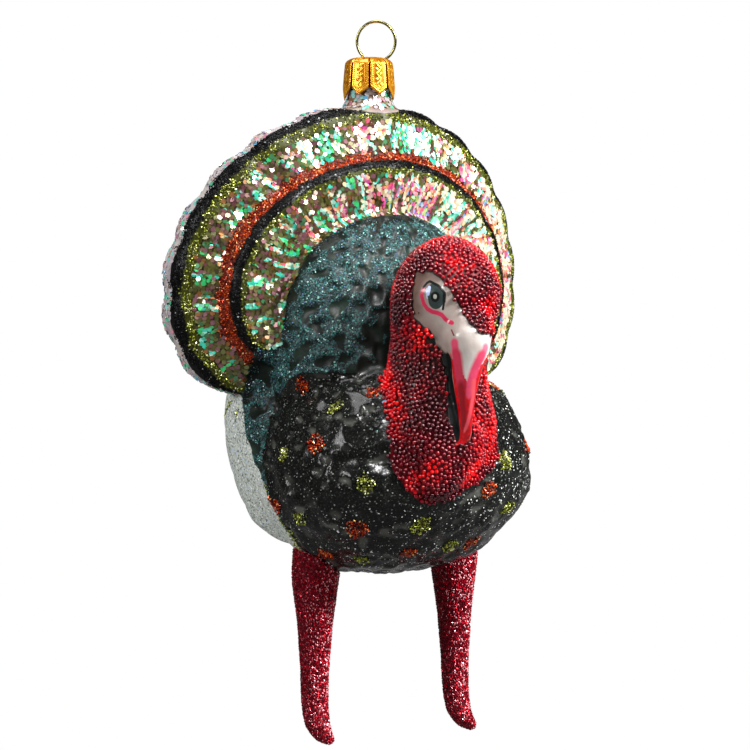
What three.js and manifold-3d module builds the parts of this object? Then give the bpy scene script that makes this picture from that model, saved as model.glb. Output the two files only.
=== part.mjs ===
// A blown glass Christmas bauble in the shape of a turkey that stands with its tail fanned out.
// The bird is one mould-blown piece with a glass neck on top, and two drawn glass legs are glued under
// it. Head and neck are coated in glass beads, and the tail and breast carry raised glitter bands, coats
// of flakes and glitter dots. A pressed metal cap sits over the glass neck, and a sprung wire loop goes
// through two holes in the cap, to hang the bauble by.
// Millimetres, +Z up, the bird faces -Y and X is across it. Heights are measured from the toes, and the
// finished group is moved so that its origin is where a hook carries the wire loop.
import * as THREE from "three";
import { mergeVertices } from "three/addons/utils/BufferGeometryUtils.js";
import Module from "manifold-3d";

const wasm = await Module();
wasm.setup();

const { sin, cos, PI, abs, sign, min, max } = Math;
const { degToRad, lerp } = THREE.MathUtils;
const fullTurn = 2 * PI;

// Clearances
const seatGap = 0.3; // between a glued or coated piece and what carries it
const cutOverrun = 2;
const weldReach = 1e-4; // corners of a mesh that lie closer than this are one corner

// Tail fan: an upright disc with its sides swept back, and a second, smaller tier in front of the first
const fanCentreHeight = 101.5;
const fanHalfWidth = 45.7;
const fanRise = 43;
const fanTierDepth = 10; // what the depths of the fan's rows are shares of
const fanSideSweep = 11.5; // how far the sides stand back from the middle
const fanEndAngle = degToRad(-31); // where the feathers end, below the horizontal
const fanTopSwell = 2.6; // how much the fan thickens, to the front and to the back, under the glass neck
const fanTopSwellReach = 9;
const outerFeathers = 15;
const innerFeathers = 11;
const outerFeatherCrown = 1.0;
const innerFeatherCrown = 0.9;
const rimScallop = 0.9;
const bandThickness = 0.5; // of the raised glitter bands
const flakeCoatThickness = 0.4;

// Breast, the large ball in front
const bellyHeight = 39.2; // lowest point above the toes
const breastRise = 50;
const breastHalfWidth = 31;
const breastMiddle = 8; // forward of the glass neck's axis
const breastReach = 32; // to the front and to the back of that middle
const breastSquareness = 2.4; // of its section, where 2 is an ellipse

// Rump, behind and between the wings
const rumpBottom = 42.5;
const rumpRise = 54;
const rumpHalfWidth = 27.5;
const rumpMiddle = 0;
const rumpReach = 24;

// Back, the feathered hump in front of the fan
const backBottom = 66;
const backTop = 121;
const backHalfWidth = 26;
const backMiddle = 6;
const backReach = 22;

// Wings, folded along the sides
const wingLength = 41;
const wingBreadth = 27;
const wingThickness = 12;
const wingHeight = 64.5;
const wingOut = 24.6;
const wingBackset = 4.8;
const wingSlope = degToRad(-20); // its top lies further back
const wingTuck = degToRad(8); // its foot lies further in

// Neck and head, one column with a rounded foot that hangs over the breast
const neckFootHeight = 60.4;
const headTop = 114.3;
const headRadius = 11.6;
const neckForward = 32.5;
const neckFootAside = -6.5; // the foot lies a little to the bird's right

// Beak, which hangs down the front of the neck
const beakRootHeight = 95;
const beakTipHeight = 72.2;
const beakRootRadius = 5.8;
const beakTipRadius = 0.8;
const beakForward = 12.6; // from the middle of the neck to the middle of the beak

// Bare face, open in the bead coat from above each eye down to the beak
const faceTopHeight = 109;
const faceFootHeight = 92.5;
const faceHalfWidth = 4.7;
const faceLeftTurn = degToRad(22); // the poured coat leaves the left eye free further round

// Glass beads on head and neck
const beadCoatThickness = 0.9;

// Legs
const legSpacing = 36.4;
const legForward = 7.6;
const legRootHeight = 47;
const legRootRadius = 6.6;
const legSplay = 0.6; // how far the toes stand out from the root
const toeReach = 8.2;
const toeTipHeight = 1.9;
const rightToesLift = 1.4; // the legs are drawn by hand, and the bird's right one is shorter

// Glitter dots on the breast
const dotRadius = 2.1;
const dotThickness = 0.7;
const dotRimRadiusShare = 0.8;
const dotRimHeightShare = 0.7;

// Glass neck under the cap
const glassNeckRadius = 4.8;
const glassNeckWall = 0.7;
const glassNeckRise = 8.9; // above the top of the fan
const glassNeckSpread = 1.8; // how far its root widens into the fan
const glassNeckRootDepth = 7;
const glassNeckBoreDepth = 13.5;

// Metal cap
const capPetals = 8;
const capSheet = 0.45;
const capRunningGap = 0.35; // between the cap and the glass neck
const capHeight = 9.3; // from its top to the tips of its petals
const capPetalPoint = 2.6; // from the notches between petals to their tips
const capPetalBulge = 0.3;
const capFlare = 0.25;
const capDomeRise = 1.3; // of its crown over its shoulder
const capWaistPointShare = 0.3; // how much of the petals' points shows halfway down the skirt

// Wire loop
const wireDiameter = 0.7;
const wireHoleClearance = 0.3;
const loopHoleSpacing = 5.6;
const loopTurn = degToRad(-45); // how the loop stands, turned from the fan's plane
const loopRise = 3.77; // of the loop's middle over the cap
const loopLean = 1.35; // how far the loop stands to one side of the cap
const loopBulge = 0.15; // how far the loop bows out past the leg that it leans away from
const loopBend = degToRad(24); // how much of the loop's round goes into the bend over each leg
const wireLegLength = 9.5; // below the top of the cap
const wireLegSpread = 0.3; // how far each leg springs out

const fanTopHeight = fanCentreHeight + fanRise;
const glassNeckTop = fanTopHeight + glassNeckRise;
const capTop = glassNeckTop + seatGap + capSheet + capDomeRise;
const loopRadius = loopHoleSpacing / 2 + loopLean + loopBulge; // to the middle of the wire
const loopCentreHeight = capTop + loopRise;
const hangHeight = loopCentreHeight + Math.sqrt((loopRadius - wireDiameter / 2) ** 2 - loopLean ** 2);

// A smooth curve through [place, value] pairs, read at any place between the first and the last.
function smoothTable(table) {
  const curve = new THREE.SplineCurve(table.map(([place, value]) => new THREE.Vector2(place, value)));
  const halvings = 24;
  return (place) => {
    let low = 0;
    let high = 1;
    for (let i = 0; i < halvings; i++) {
      const middle = (low + high) / 2;
      if (curve.getPoint(middle).x < place) low = middle;
      else high = middle;
    }
    return curve.getPoint((low + high) / 2).y;
  };
}

// A closed surface over rings that all have the same count of points, with both ends closed on their middles.
function loft(rings) {
  const count = rings[0].length;
  const points = rings.flat();
  const faces = [];
  for (let j = 0; j + 1 < rings.length; j++)
    for (let i = 0; i < count; i++) {
      const a = j * count + i;
      const b = j * count + ((i + 1) % count);
      faces.push(a, b, b + count, a, b + count, a + count);
    }
  const closeEnd = (ring, start, flip) => {
    const middle = ring.reduce((sum, p) => sum.add(p), new THREE.Vector3()).divideScalar(count);
    const hub = points.push(middle) - 1;
    for (let i = 0; i < count; i++) {
      const a = start + i;
      const b = start + ((i + 1) % count);
      if (flip) faces.push(b, a, hub);
      else faces.push(a, b, hub);
    }
  };
  closeEnd(rings[0], 0, true);
  closeEnd(rings.at(-1), (rings.length - 1) * count, false);
  const geometry = new THREE.BufferGeometry().setFromPoints(points);
  geometry.setIndex(faces);
  return geometry;
}

// A closed mesh as a solid that can be joined and cut.
function solidOf(geometry) {
  const bare = geometry.clone();
  bare.deleteAttribute("normal");
  bare.deleteAttribute("uv");
  const merged = mergeVertices(bare, weldReach);
  return new wasm.Manifold(
    new wasm.Mesh({
      numProp: 3,
      vertProperties: new Float32Array(merged.attributes.position.array),
      triVerts: new Uint32Array(merged.index.array),
    }),
  );
}

function geometryOf(solid) {
  const mesh = solid.getMesh();
  const geometry = new THREE.BufferGeometry();
  geometry.setAttribute("position", new THREE.BufferAttribute(new Float32Array(mesh.vertProperties), 3));
  geometry.setIndex(new THREE.BufferAttribute(new Uint32Array(mesh.triVerts), 1));
  geometry.computeVertexNormals();
  return geometry;
}

const joined = (solids) => solids.reduce((whole, piece) => whole.add(piece));

// A place between a body's bottom and top where the levels draw together towards the poles.
const poleShare = (level, levels) => (1 - cos((PI * level) / levels)) / 2;

// A point of an oval body: its tables give the half width, and the reach to the front and to the back, as
// shares of its largest ones. Offset gives the body that is larger all round.
function ovalPoint(body, angle, share, offset = 0) {
  const bend = 2 / body.squareness;
  const across = sign(cos(angle)) * abs(cos(angle)) ** bend;
  const along = sign(sin(angle)) * abs(sin(angle)) ** bend;
  const reachShares = along < 0 ? body.frontShares : body.backShares;
  const width = max(body.halfWidth * body.widthShares(share), 0) + offset;
  const reach = max(body.reach * reachShares(share), 0) + offset;
  const lift = offset * (2 * share - 1);
  return new THREE.Vector3(
    width * across,
    reach * along - body.middle,
    lerp(body.bottom, body.top, share) + lift,
  );
}

function ovalSolid(body, offset = 0) {
  const rings = [];
  for (let level = 0; level <= body.levels; level++) {
    const ring = [];
    for (let i = 0; i < body.sides; i++)
      ring.push(ovalPoint(body, (fullTurn * i) / body.sides, poleShare(level, body.levels), offset));
    rings.push(ring);
  }
  return solidOf(loft(rings));
}

const breastBody = {
  bottom: bellyHeight,
  top: bellyHeight + breastRise,
  halfWidth: breastHalfWidth,
  middle: breastMiddle,
  reach: breastReach,
  squareness: breastSquareness,
  sides: 30,
  levels: 12,
  widthShares: smoothTable([
    [0, 0.3], [0.03, 0.6], [0.12, 0.87], [0.28, 0.98], [0.43, 1], [0.62, 0.95],
    [0.8, 0.82], [0.93, 0.55], [1, 0.12],
  ]),
  frontShares: smoothTable([
    [0, 0.2], [0.03, 0.5], [0.12, 0.8], [0.28, 0.96], [0.44, 1], [0.62, 0.95],
    [0.8, 0.82], [0.93, 0.55], [1, 0.12],
  ]),
  backShares: smoothTable([
    [0, 0.1], [0.1, 0.4], [0.4, 0.55], [0.8, 0.4], [1, 0.1],
  ]),
};

const rumpBody = {
  bottom: rumpBottom,
  top: rumpBottom + rumpRise,
  halfWidth: rumpHalfWidth,
  middle: rumpMiddle,
  reach: rumpReach,
  squareness: 2,
  sides: 24,
  levels: 10,
  widthShares: smoothTable([
    [0, 0.3], [0.04, 0.66], [0.14, 0.88], [0.32, 1], [0.55, 1], [0.78, 0.9],
    [0.94, 0.62], [1, 0.2],
  ]),
  frontShares: smoothTable([
    [0, 0.3], [0.1, 0.8], [0.4, 1], [0.8, 0.9], [1, 0.3],
  ]),
  backShares: smoothTable([
    [0, 0.2], [0.05, 0.52], [0.15, 0.74], [0.35, 0.95], [0.55, 1], [0.8, 0.8],
    [0.95, 0.5], [1, 0.2],
  ]),
};

const backBody = {
  bottom: backBottom,
  top: backTop,
  halfWidth: backHalfWidth,
  middle: backMiddle,
  reach: backReach,
  squareness: 2,
  sides: 24,
  levels: 10,
  widthShares: smoothTable([
    [0, 0.3], [0.1, 0.85], [0.3, 1], [0.5, 1], [0.68, 0.93], [0.84, 0.75],
    [0.95, 0.46], [1, 0.12],
  ]),
  frontShares: smoothTable([
    [0, 0.4], [0.15, 0.74], [0.32, 0.8], [0.5, 0.74], [0.7, 0.62], [0.87, 0.45],
    [0.96, 0.28], [1, 0.1],
  ]),
  backShares: smoothTable([
    [0, 0.5], [0.4, 0.8], [0.8, 0.5], [1, 0.1],
  ]),
};

function wing(side, offset = 0) {
  const shape = new THREE.SphereGeometry(1, 16, 10);
  shape.scale(wingThickness / 2 + offset, wingBreadth / 2 + offset, wingLength / 2 + offset);
  shape.rotateX(wingSlope);
  shape.rotateY(side * wingTuck);
  shape.translate(side * wingOut, wingBackset, wingHeight);
  return solidOf(shape);
}

// Stations of the neck and head, from the foot up, as shares of the sizes above.
const neckStations = [
  { heightShare: 0, forwardShare: 1.22, asideShare: 1, radiusShare: 0.12 },
  { heightShare: 0.035, forwardShare: 1.17, asideShare: 0.86, radiusShare: 0.4 },
  { heightShare: 0.1, forwardShare: 1.1, asideShare: 0.56, radiusShare: 0.7 },
  { heightShare: 0.2, forwardShare: 1.04, asideShare: 0.26, radiusShare: 0.99 },
  { heightShare: 0.27, forwardShare: 1.01, asideShare: 0.22, radiusShare: 1.04 },
  { heightShare: 0.36, forwardShare: 0.98, asideShare: 0.22, radiusShare: 0.99 },
  { heightShare: 0.5, forwardShare: 0.97, asideShare: 0.2, radiusShare: 0.87 },
  { heightShare: 0.63, forwardShare: 1, asideShare: 0.08, radiusShare: 0.9 },
  { heightShare: 0.76, forwardShare: 1.03, asideShare: 0, radiusShare: 1 },
  { heightShare: 0.86, forwardShare: 1.04, asideShare: 0, radiusShare: 0.92 },
  { heightShare: 0.94, forwardShare: 1.03, asideShare: 0, radiusShare: 0.66 },
  { heightShare: 0.985, forwardShare: 1.02, asideShare: 0, radiusShare: 0.34 },
  { heightShare: 1, forwardShare: 1.02, asideShare: 0, radiusShare: 0.1 },
];
const neckSides = 18;
const neckLevels = 14;
const neckForwardShares = smoothTable(neckStations.map((s) => [s.heightShare, s.forwardShare]));
const neckAsideShares = smoothTable(neckStations.map((s) => [s.heightShare, s.asideShare]));
const neckRadiusShares = smoothTable(neckStations.map((s) => [s.heightShare, s.radiusShare]));

// A point on the neck or head at a turn from straight ahead, positive towards the bird's left.
function neckPoint(share, turn, offset = 0) {
  const lift = offset * (2 * share - 1);
  const radius = headRadius * neckRadiusShares(share) + offset;
  return new THREE.Vector3(
    neckFootAside * neckAsideShares(share) + radius * sin(turn),
    -neckForward * neckForwardShares(share) - radius * cos(turn),
    lerp(neckFootHeight, headTop, share) + lift,
  );
}
const neckShareAt = (height) => (height - neckFootHeight) / (headTop - neckFootHeight);

function neckAndHead(offset = 0) {
  const rings = [];
  for (let level = 0; level <= neckLevels; level++) {
    const ring = [];
    for (let i = 0; i < neckSides; i++)
      ring.push(neckPoint(poleShare(level, neckLevels), (fullTurn * i) / neckSides, offset));
    rings.push(ring);
  }
  return solidOf(loft(rings));
}

// A round bar along stations of { at, radius }. Side is a direction that no part of it runs along.
function taperedBar(stations, sides, side, stepsBetween = 3) {
  const path = new THREE.CatmullRomCurve3(stations.map((s) => s.at));
  const spans = stations.length - 1;
  const rings = [];
  for (let j = 0; j <= spans * stepsBetween; j++) {
    const place = j / stepsBetween;
    const from = min(Math.floor(place), spans - 1);
    const radius = lerp(stations[from].radius, stations[from + 1].radius, place - from);
    const middle = path.getPoint(place / spans);
    const along = path.getTangent(place / spans);
    const across = side.clone().addScaledVector(along, -side.dot(along)).normalize();
    const ahead = new THREE.Vector3().crossVectors(along, across);
    const ring = [];
    for (let i = 0; i < sides; i++) {
      const angle = (fullTurn * i) / sides;
      const point = middle.clone().addScaledVector(across, radius * cos(angle));
      ring.push(point.addScaledVector(ahead, radius * sin(angle)));
    }
    rings.push(ring);
  }
  return solidOf(loft(rings));
}

// The beak curves out of the face and down the front of the neck.
const beakStations = [
  { fallShare: -0.1, forwardShare: 0.55, radiusShare: 0.95 },
  { fallShare: 0.06, forwardShare: 0.95, radiusShare: 1 },
  { fallShare: 0.3, forwardShare: 1.04, radiusShare: 0.68 },
  { fallShare: 0.55, forwardShare: 1.03, radiusShare: 0.48 },
  { fallShare: 0.8, forwardShare: 0.99, radiusShare: 0.28 },
  { fallShare: 1, forwardShare: 0.93, radiusShare: 0 },
];
function beak(offset = 0) {
  const stations = beakStations.map(({ fallShare, forwardShare, radiusShare }) => {
    const height = lerp(beakRootHeight, beakTipHeight, fallShare) - (fallShare === 1 ? offset : 0);
    const share = neckShareAt(height);
    const aside = neckFootAside * neckAsideShares(share);
    const ahead = neckForward * neckForwardShares(share) + beakForward * forwardShare;
    return {
      at: new THREE.Vector3(aside, -ahead, height),
      radius: lerp(beakTipRadius, beakRootRadius, radiusShare) + offset,
    };
  });
  return taperedBar(stations, 14, new THREE.Vector3(1, 0, 0));
}

// What the bare face takes out of the bead coat on one side: a bar along the head from above the eye,
// down its cheek and in under the root of the beak.
const faceStations = [
  { fallShare: 0, turn: degToRad(54), widthShare: 0.4, leftTurnShare: 1 },
  { fallShare: 0.25, turn: degToRad(49), widthShare: 0.92, leftTurnShare: 1 },
  { fallShare: 0.55, turn: degToRad(43), widthShare: 1.05, leftTurnShare: 1 },
  { fallShare: 0.82, turn: degToRad(26), widthShare: 0.95, leftTurnShare: 0.6 },
  { fallShare: 1, turn: degToRad(2), widthShare: 0.7, leftTurnShare: 0 },
];
function faceOpening(side) {
  const extraTurn = side > 0 ? faceLeftTurn : 0;
  const stations = faceStations.map(({ fallShare, turn, widthShare, leftTurnShare }) => ({
    at: neckPoint(
      neckShareAt(lerp(faceTopHeight, faceFootHeight, fallShare)),
      side * (turn + extraTurn * leftTurnShare),
    ),
    radius: faceHalfWidth * widthShare,
  }));
  const facing = faceStations[2].turn + extraTurn;
  const outwards = new THREE.Vector3(side * sin(facing), -cos(facing), 0);
  return taperedBar(stations, 12, outwards, 2);
}

// Depths of the fan's rows in front of (-) or behind (+) its rim's middle, as shares of the tiers' depth,
// and their half widths and rises as shares of the rim's.
const fanRows = {
  hub: { depthShare: -0.5, widthShare: 0.1, riseShare: 0.1, tier: "none" },
  coverts: { depthShare: -0.76, widthShare: 0.569, riseShare: 0.453, tier: "none" },
  innerField: { depthShare: -0.86, widthShare: 0.645, riseShare: 0.57, tier: "inner" },
  innerEdging: { depthShare: -0.89, widthShare: 0.722, riseShare: 0.647, tier: "inner" },
  innerBand: { depthShare: -0.87, widthShare: 0.75, riseShare: 0.674, tier: "inner" },
  tierEdge: { depthShare: -0.82, widthShare: 0.782, riseShare: 0.707, tier: "inner" },
  orangeFoot: { depthShare: -0.6, widthShare: 0.792, riseShare: 0.719, tier: "outer" },
  orangeTop: { depthShare: -0.54, widthShare: 0.83, riseShare: 0.758, tier: "outer" },
  outerField: { depthShare: -0.46, widthShare: 0.875, riseShare: 0.837, tier: "outer" },
  outerEdging: { depthShare: -0.4, widthShare: 0.922, riseShare: 0.912, tier: "outer" },
  outerBand: { depthShare: -0.34, widthShare: 0.965, riseShare: 0.963, tier: "outer" },
  rim: { depthShare: -0.26, widthShare: 1, riseShare: 1, tier: "rim" },
  nose: { depthShare: 0.04, widthShare: 1.012, riseShare: 1.014, tier: "rim" },
  backRim: { depthShare: 0.32, widthShare: 0.997, riseShare: 0.995, tier: "rim" },
  backField: { depthShare: 0.46, widthShare: 0.92, riseShare: 0.907, tier: "outer" },
  backTierFoot: { depthShare: 0.54, widthShare: 0.79, riseShare: 0.757, tier: "none" },
  backTierEdge: { depthShare: 0.74, widthShare: 0.77, riseShare: 0.73, tier: "inner" },
  backCoverts: { depthShare: 0.86, widthShare: 0.57, riseShare: 0.47, tier: "none" },
  backHub: { depthShare: 0.9, widthShare: 0.1, riseShare: 0.1, tier: "none" },
};
const fanSweep = PI - 2 * fanEndAngle; // from one end of the feathers over the top to the other

// 1 along the middle of each feather and 0 in the creases between them.
const crown = (angle, feathers) => abs(sin((PI * feathers * (angle - fanEndAngle)) / fanSweep));

// How the fan draws in towards its lower ends, and on under the body.
const fanDrawInShares = smoothTable([
  [-PI / 2, 0.6],
  [degToRad(-63), 0.66],
  [degToRad(-43), 0.8],
  [fanEndAngle, 0.93],
  [degToRad(-16), 0.99],
  [0, 1],
  [degToRad(30), 1],
  [PI / 2, 1],
]);

function fanPoint(rowName, angle, lift = 0) {
  const row = fanRows[rowName];
  const atBack = rowName.startsWith("back");
  const folded = cos(angle) >= 0 ? angle : PI - angle; // the same on both sides
  const elevation = folded > PI ? folded - fullTurn : folded;
  const feathered = elevation > fanEndAngle - PI / fanSteps;
  const draw = fanDrawInShares(max(elevation, -PI / 2));
  const outer = feathered ? crown(angle, outerFeathers) : 0;
  const inner = feathered ? crown(angle, innerFeathers) : 0;
  const scallop = feathered && row.tier === "rim" ? rimScallop * (outer - 1) : 0;
  const x = (fanHalfWidth * row.widthShare + scallop) * draw * cos(angle);
  const rise = (fanRise * row.riseShare + scallop) * draw * sin(angle);
  const swells = { none: 0, inner: innerFeatherCrown * inner, outer: outerFeatherCrown * outer };
  const swell = row.tier === "rim" ? swells.outer / 2 : swells[row.tier];
  const nearNeck = fanTopSwell * Math.exp(-((x / fanTopSwellReach) ** 2)) * max(0, rise / fanRise);
  const out = rowName === "nose" ? 0 : swell + nearNeck;
  const sweep = fanSideSweep * (x / fanHalfWidth) ** 2;
  const depth = fanTierDepth * row.depthShare + sweep + (atBack ? out : -out);
  return new THREE.Vector3(x, depth - lift, fanCentreHeight + rise);
}

// The angles of the fan's points: feather by feather over the top, then wider apart under the body.
const stepsPerFeather = 4;
const fanSteps = outerFeathers * stepsPerFeather;
const hiddenSteps = 8;
const featherAngles = [];
for (let i = 0; i <= fanSteps; i++) featherAngles.push(fanEndAngle + (fanSweep * i) / fanSteps);
const hiddenAngles = [];
for (let i = 1; i < hiddenSteps; i++)
  hiddenAngles.push(fanEndAngle + fanSweep + ((fullTurn - fanSweep) * i) / hiddenSteps);

function fan() {
  const angles = [...featherAngles, ...hiddenAngles].toReversed();
  return solidOf(loft(Object.keys(fanRows).map((row) => angles.map((angle) => fanPoint(row, angle)))));
}

// A raised band or coat on the front of the fan, over rows named from the rim inwards. Half a seat gap
// is left along each edge, so that neighbours stay apart.
function fanSkin(rowNames, thickness) {
  const edge = seatGap / 2;
  const pointsAt = (angle, lift) => {
    const points = rowNames.map((name) => fanPoint(name, angle, lift));
    const inset = (from, towards) => from.clone().lerp(towards, edge / from.distanceTo(towards));
    const first = inset(points[0], points[1]);
    const last = inset(points.at(-1), points.at(-2));
    return [first, ...points.slice(1, -1), last];
  };
  return solidOf(
    loft(
      featherAngles.map((angle) => [
        ...pointsAt(angle, seatGap + thickness).toReversed(),
        ...pointsAt(angle, seatGap),
      ]),
    ),
  );
}

// The glass neck that the cap sits on, with a spread root in the top of the fan and a bore down into it.
function glassNeck() {
  const outline = [
    [0, -glassNeckRootDepth],
    [glassNeckRadius + glassNeckSpread, -glassNeckRootDepth],
    [glassNeckRadius + glassNeckSpread, -glassNeckSpread],
    [glassNeckRadius + glassNeckSpread / 3, glassNeckSpread / 3],
    [glassNeckRadius, glassNeckSpread],
    [glassNeckRadius, glassNeckRise - glassNeckWall / 2],
    [glassNeckRadius - glassNeckWall / 2, glassNeckRise],
    [0, glassNeckRise],
  ];
  const points = outline.map(([radius, rise]) => new THREE.Vector2(radius, fanTopHeight + rise));
  return solidOf(new THREE.LatheGeometry(points, 24).rotateX(PI / 2));
}

function uprightPin(radius, bottom, top, x = 0, y = 0) {
  const pin = new THREE.CylinderGeometry(radius, radius, top - bottom, 24).rotateX(PI / 2);
  return solidOf(pin.translate(x, y, (top + bottom) / 2));
}

const glassNeckBore = () =>
  uprightPin(glassNeckRadius - glassNeckWall, glassNeckTop - glassNeckBoreDepth, glassNeckTop + cutOverrun);

// The whole bird, and the parts of it that its coats and legs keep clear of.
const trunk = (offset) =>
  joined([
    ovalSolid(breastBody, offset),
    ovalSolid(rumpBody, offset),
    ovalSolid(backBody, offset),
    wing(1, offset),
    wing(-1, offset),
  ]);
const trunkWithGap = trunk(seatGap);
const glassBird = () => {
  const whole = joined([trunk(0), fan(), neckAndHead(), beak(), glassNeck()]);
  return whole.subtract(glassNeckBore());
};

const beadCoat = () =>
  neckAndHead(seatGap + beadCoatThickness)
    .subtract(neckAndHead(seatGap))
    .subtract(trunkWithGap)
    .subtract(joined([faceOpening(1), faceOpening(-1), beak(seatGap)]));

// Stations of a leg, from its root down to the tip of its toes.
const legStations = [
  { heightShare: 1, forwardShare: 0, radiusShare: 1 },
  { heightShare: 0.8, forwardShare: 0.01, radiusShare: 0.8 },
  { heightShare: 0.57, forwardShare: 0.02, radiusShare: 0.6 },
  { heightShare: 0.34, forwardShare: 0.03, radiusShare: 0.49 },
  { heightShare: 0.18, forwardShare: 0.05, radiusShare: 0.46 },
  { heightShare: 0.07, forwardShare: 0.2, radiusShare: 0.43 },
  { heightShare: 0.02, forwardShare: 0.55, radiusShare: 0.32 },
  { heightShare: 0, forwardShare: 1, radiusShare: 0.14 },
];
function leg(side) {
  const toeHeight = toeTipHeight + (side < 0 ? rightToesLift : 0);
  const stations = legStations.map(({ heightShare, forwardShare, radiusShare }) => ({
    at: new THREE.Vector3(
      side * (legSpacing / 2 + legSplay * (1 - heightShare)),
      -legForward - toeReach * forwardShare,
      lerp(toeHeight, legRootHeight, heightShare),
    ),
    radius: legRootRadius * radiusShare,
  }));
  return taperedBar(stations, 12, new THREE.Vector3(1, 0, 0), 2).subtract(trunkWithGap);
}

// A glitter dot: a low dome with a flat foot, on an oval body at a turn from straight ahead.
function dot(turn, heightShare, sizeShare, body = breastBody) {
  const nudge = 1e-3;
  const angle = turn - PI / 2;
  const seat = ovalPoint(body, angle, heightShare);
  const sideways = ovalPoint(body, angle + nudge, heightShare).sub(seat);
  const upwards = ovalPoint(body, angle, heightShare + nudge).sub(seat);
  const outwards = sideways.cross(upwards).normalize();
  const radius = dotRadius * sizeShare;
  const sag = radius ** 2 / (2 * body.reach); // how far the glass curves away under the dot
  const outline = [
    [0, 0],
    [radius, 0],
    [radius * dotRimRadiusShare, dotThickness * dotRimHeightShare],
    [0, dotThickness],
  ];
  const shape = new THREE.LatheGeometry(outline.map(([r, h]) => new THREE.Vector2(r, h)), 8);
  shape.applyQuaternion(new THREE.Quaternion().setFromUnitVectors(new THREE.Vector3(0, 1, 0), outwards));
  seat.addScaledVector(outwards, seatGap + sag);
  return solidOf(shape.translate(seat.x, seat.y, seat.z));
}

// Turn in degrees from straight ahead, place between the bottom and top of the breast, and size. One dot
// sits higher, on the shoulder of the back.
const orangeDotShares = [
  [-68, 0.3, 0.83, backBody],
  [-37, 0.86, 0.8],
  [-64, 0.64, 0.95],
  [-42, 0.27, 1.03],
  [-66, 0.13, 0.8],
  [-13, 0.14, 0.83],
  [18, 0.16, 0.83],
  [11, 0.43, 0.93],
  [56, 0.58, 0.93],
  [-86, 0.34, 0.7],
  [50, 0.86, 0.8],
  [70, 0.47, 0.95],
  [79, 0.7, 0.85],
  [74, 0.23, 0.85],
];
const limeDotShares = [
  [-58, 0.8, 0.83],
  [-82, 0.58, 0.8],
  [-38, 0.48, 0.93],
  [-72, 0.3, 0.75],
  [-41, 0.11, 0.75],
  [-12, 0.28, 1.03],
  [5, 0.16, 0.83],
  [21, 0.55, 1.05],
  [28, 0.32, 0.93],
  [60, 0.81, 0.7],
  [62, 0.31, 0.9],
  [84, 0.5, 0.85],
];

// The pressed cap: a disc with a rounded shoulder and a skirt of pointed petals, fluted between them.
const capInnerRadius = glassNeckRadius + capRunningGap;
const capOuterRadius = capInnerRadius + capSheet;
const capSides = capPetals * 4;
function capRing(radius, drop, petalShare, pointShare) {
  const ring = [];
  for (let i = 0; i < capSides; i++) {
    const angle = (fullTurn * i) / capSides;
    const petal = abs(sin((capPetals * angle) / 2)); // 1 on the middle of a petal, 0 in a notch
    const out = radius + capPetalBulge * petal * petalShare;
    const point = capPetalPoint * pointShare * petal;
    ring.push(new THREE.Vector3(out * cos(angle), out * sin(angle), capTop - drop - point));
  }
  return ring;
}
function cap() {
  const notchDrop = capHeight - capPetalPoint;
  const crownShares = [[0.5, 0.04], [0.76, 0.28], [0.92, 0.75], [1, 1.5]]; // of the radius and of the dome
  const crown = crownShares.map(([radius, drop]) => [capOuterRadius * radius, capDomeRise * drop]);
  const rings = [
    ...crown.map(([radius, drop]) => capRing(radius - capSheet, drop + capSheet, 0, 0)),
    capRing(capInnerRadius, notchDrop / 2, 0, 0),
    capRing(capInnerRadius + capFlare, notchDrop, 1, 1),
    capRing(capOuterRadius + capFlare, notchDrop, 1, 1),
    capRing(capOuterRadius + capFlare / 3, notchDrop / 2, 1, capWaistPointShare),
    ...crown.toReversed().map(([radius, drop]) => capRing(radius, drop, drop / capHeight, 0)),
  ];
  const holeRadius = wireDiameter / 2 + wireHoleClearance;
  const hole = (side) => uprightPin(holeRadius, capTop - cutOverrun, capTop + cutOverrun, ...loopPlace(side));
  return solidOf(loft(rings)).subtract(joined([hole(1), hole(-1)]));
}
function loopPlace(side, out = loopHoleSpacing / 2) {
  return [side * out * cos(loopTurn), side * out * sin(loopTurn)];
}

// The wire: down one leg's spring, up through the cap, round the loop, and down the other side.
function wireLoop() {
  const points = [];
  const place = (across, height) => {
    const [x, y] = loopPlace(1, across);
    points.push(new THREE.Vector3(x, y, height));
  };
  const half = loopHoleSpacing / 2;
  const legPoints = 4;
  const loopPoints = 18;
  const legPlace = (side, rise) =>
    place(side * (half + wireLegSpread * (1 - rise)), capTop - wireLegLength * (1 - rise));
  for (let i = 0; i <= legPoints; i++) legPlace(-1, i / legPoints);
  place(-half, capTop + wireDiameter / 2);
  const start = Math.asin((half + loopLean) / loopRadius) + loopBend; // where its round starts, from its foot
  const end = Math.asin((half - loopLean) / loopRadius) + loopBend;
  for (let i = 0; i <= loopPoints; i++) {
    const angle = -start - ((fullTurn - start - end) * i) / loopPoints;
    place(loopLean + loopRadius * sin(angle), loopCentreHeight - loopRadius * cos(angle));
  }
  place(half, capTop + wireDiameter / 2);
  for (let i = legPoints; i >= 0; i--) legPlace(1, i / legPoints);
  const section = new THREE.Shape().absarc(0, 0, wireDiameter / 2, 0, fullTurn);
  const path = new THREE.CatmullRomCurve3(points);
  const along = { curveSegments: 4, steps: 42, bevelEnabled: false, extrudePath: path };
  return solidOf(new THREE.ExtrudeGeometry(section, along));
}

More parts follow.
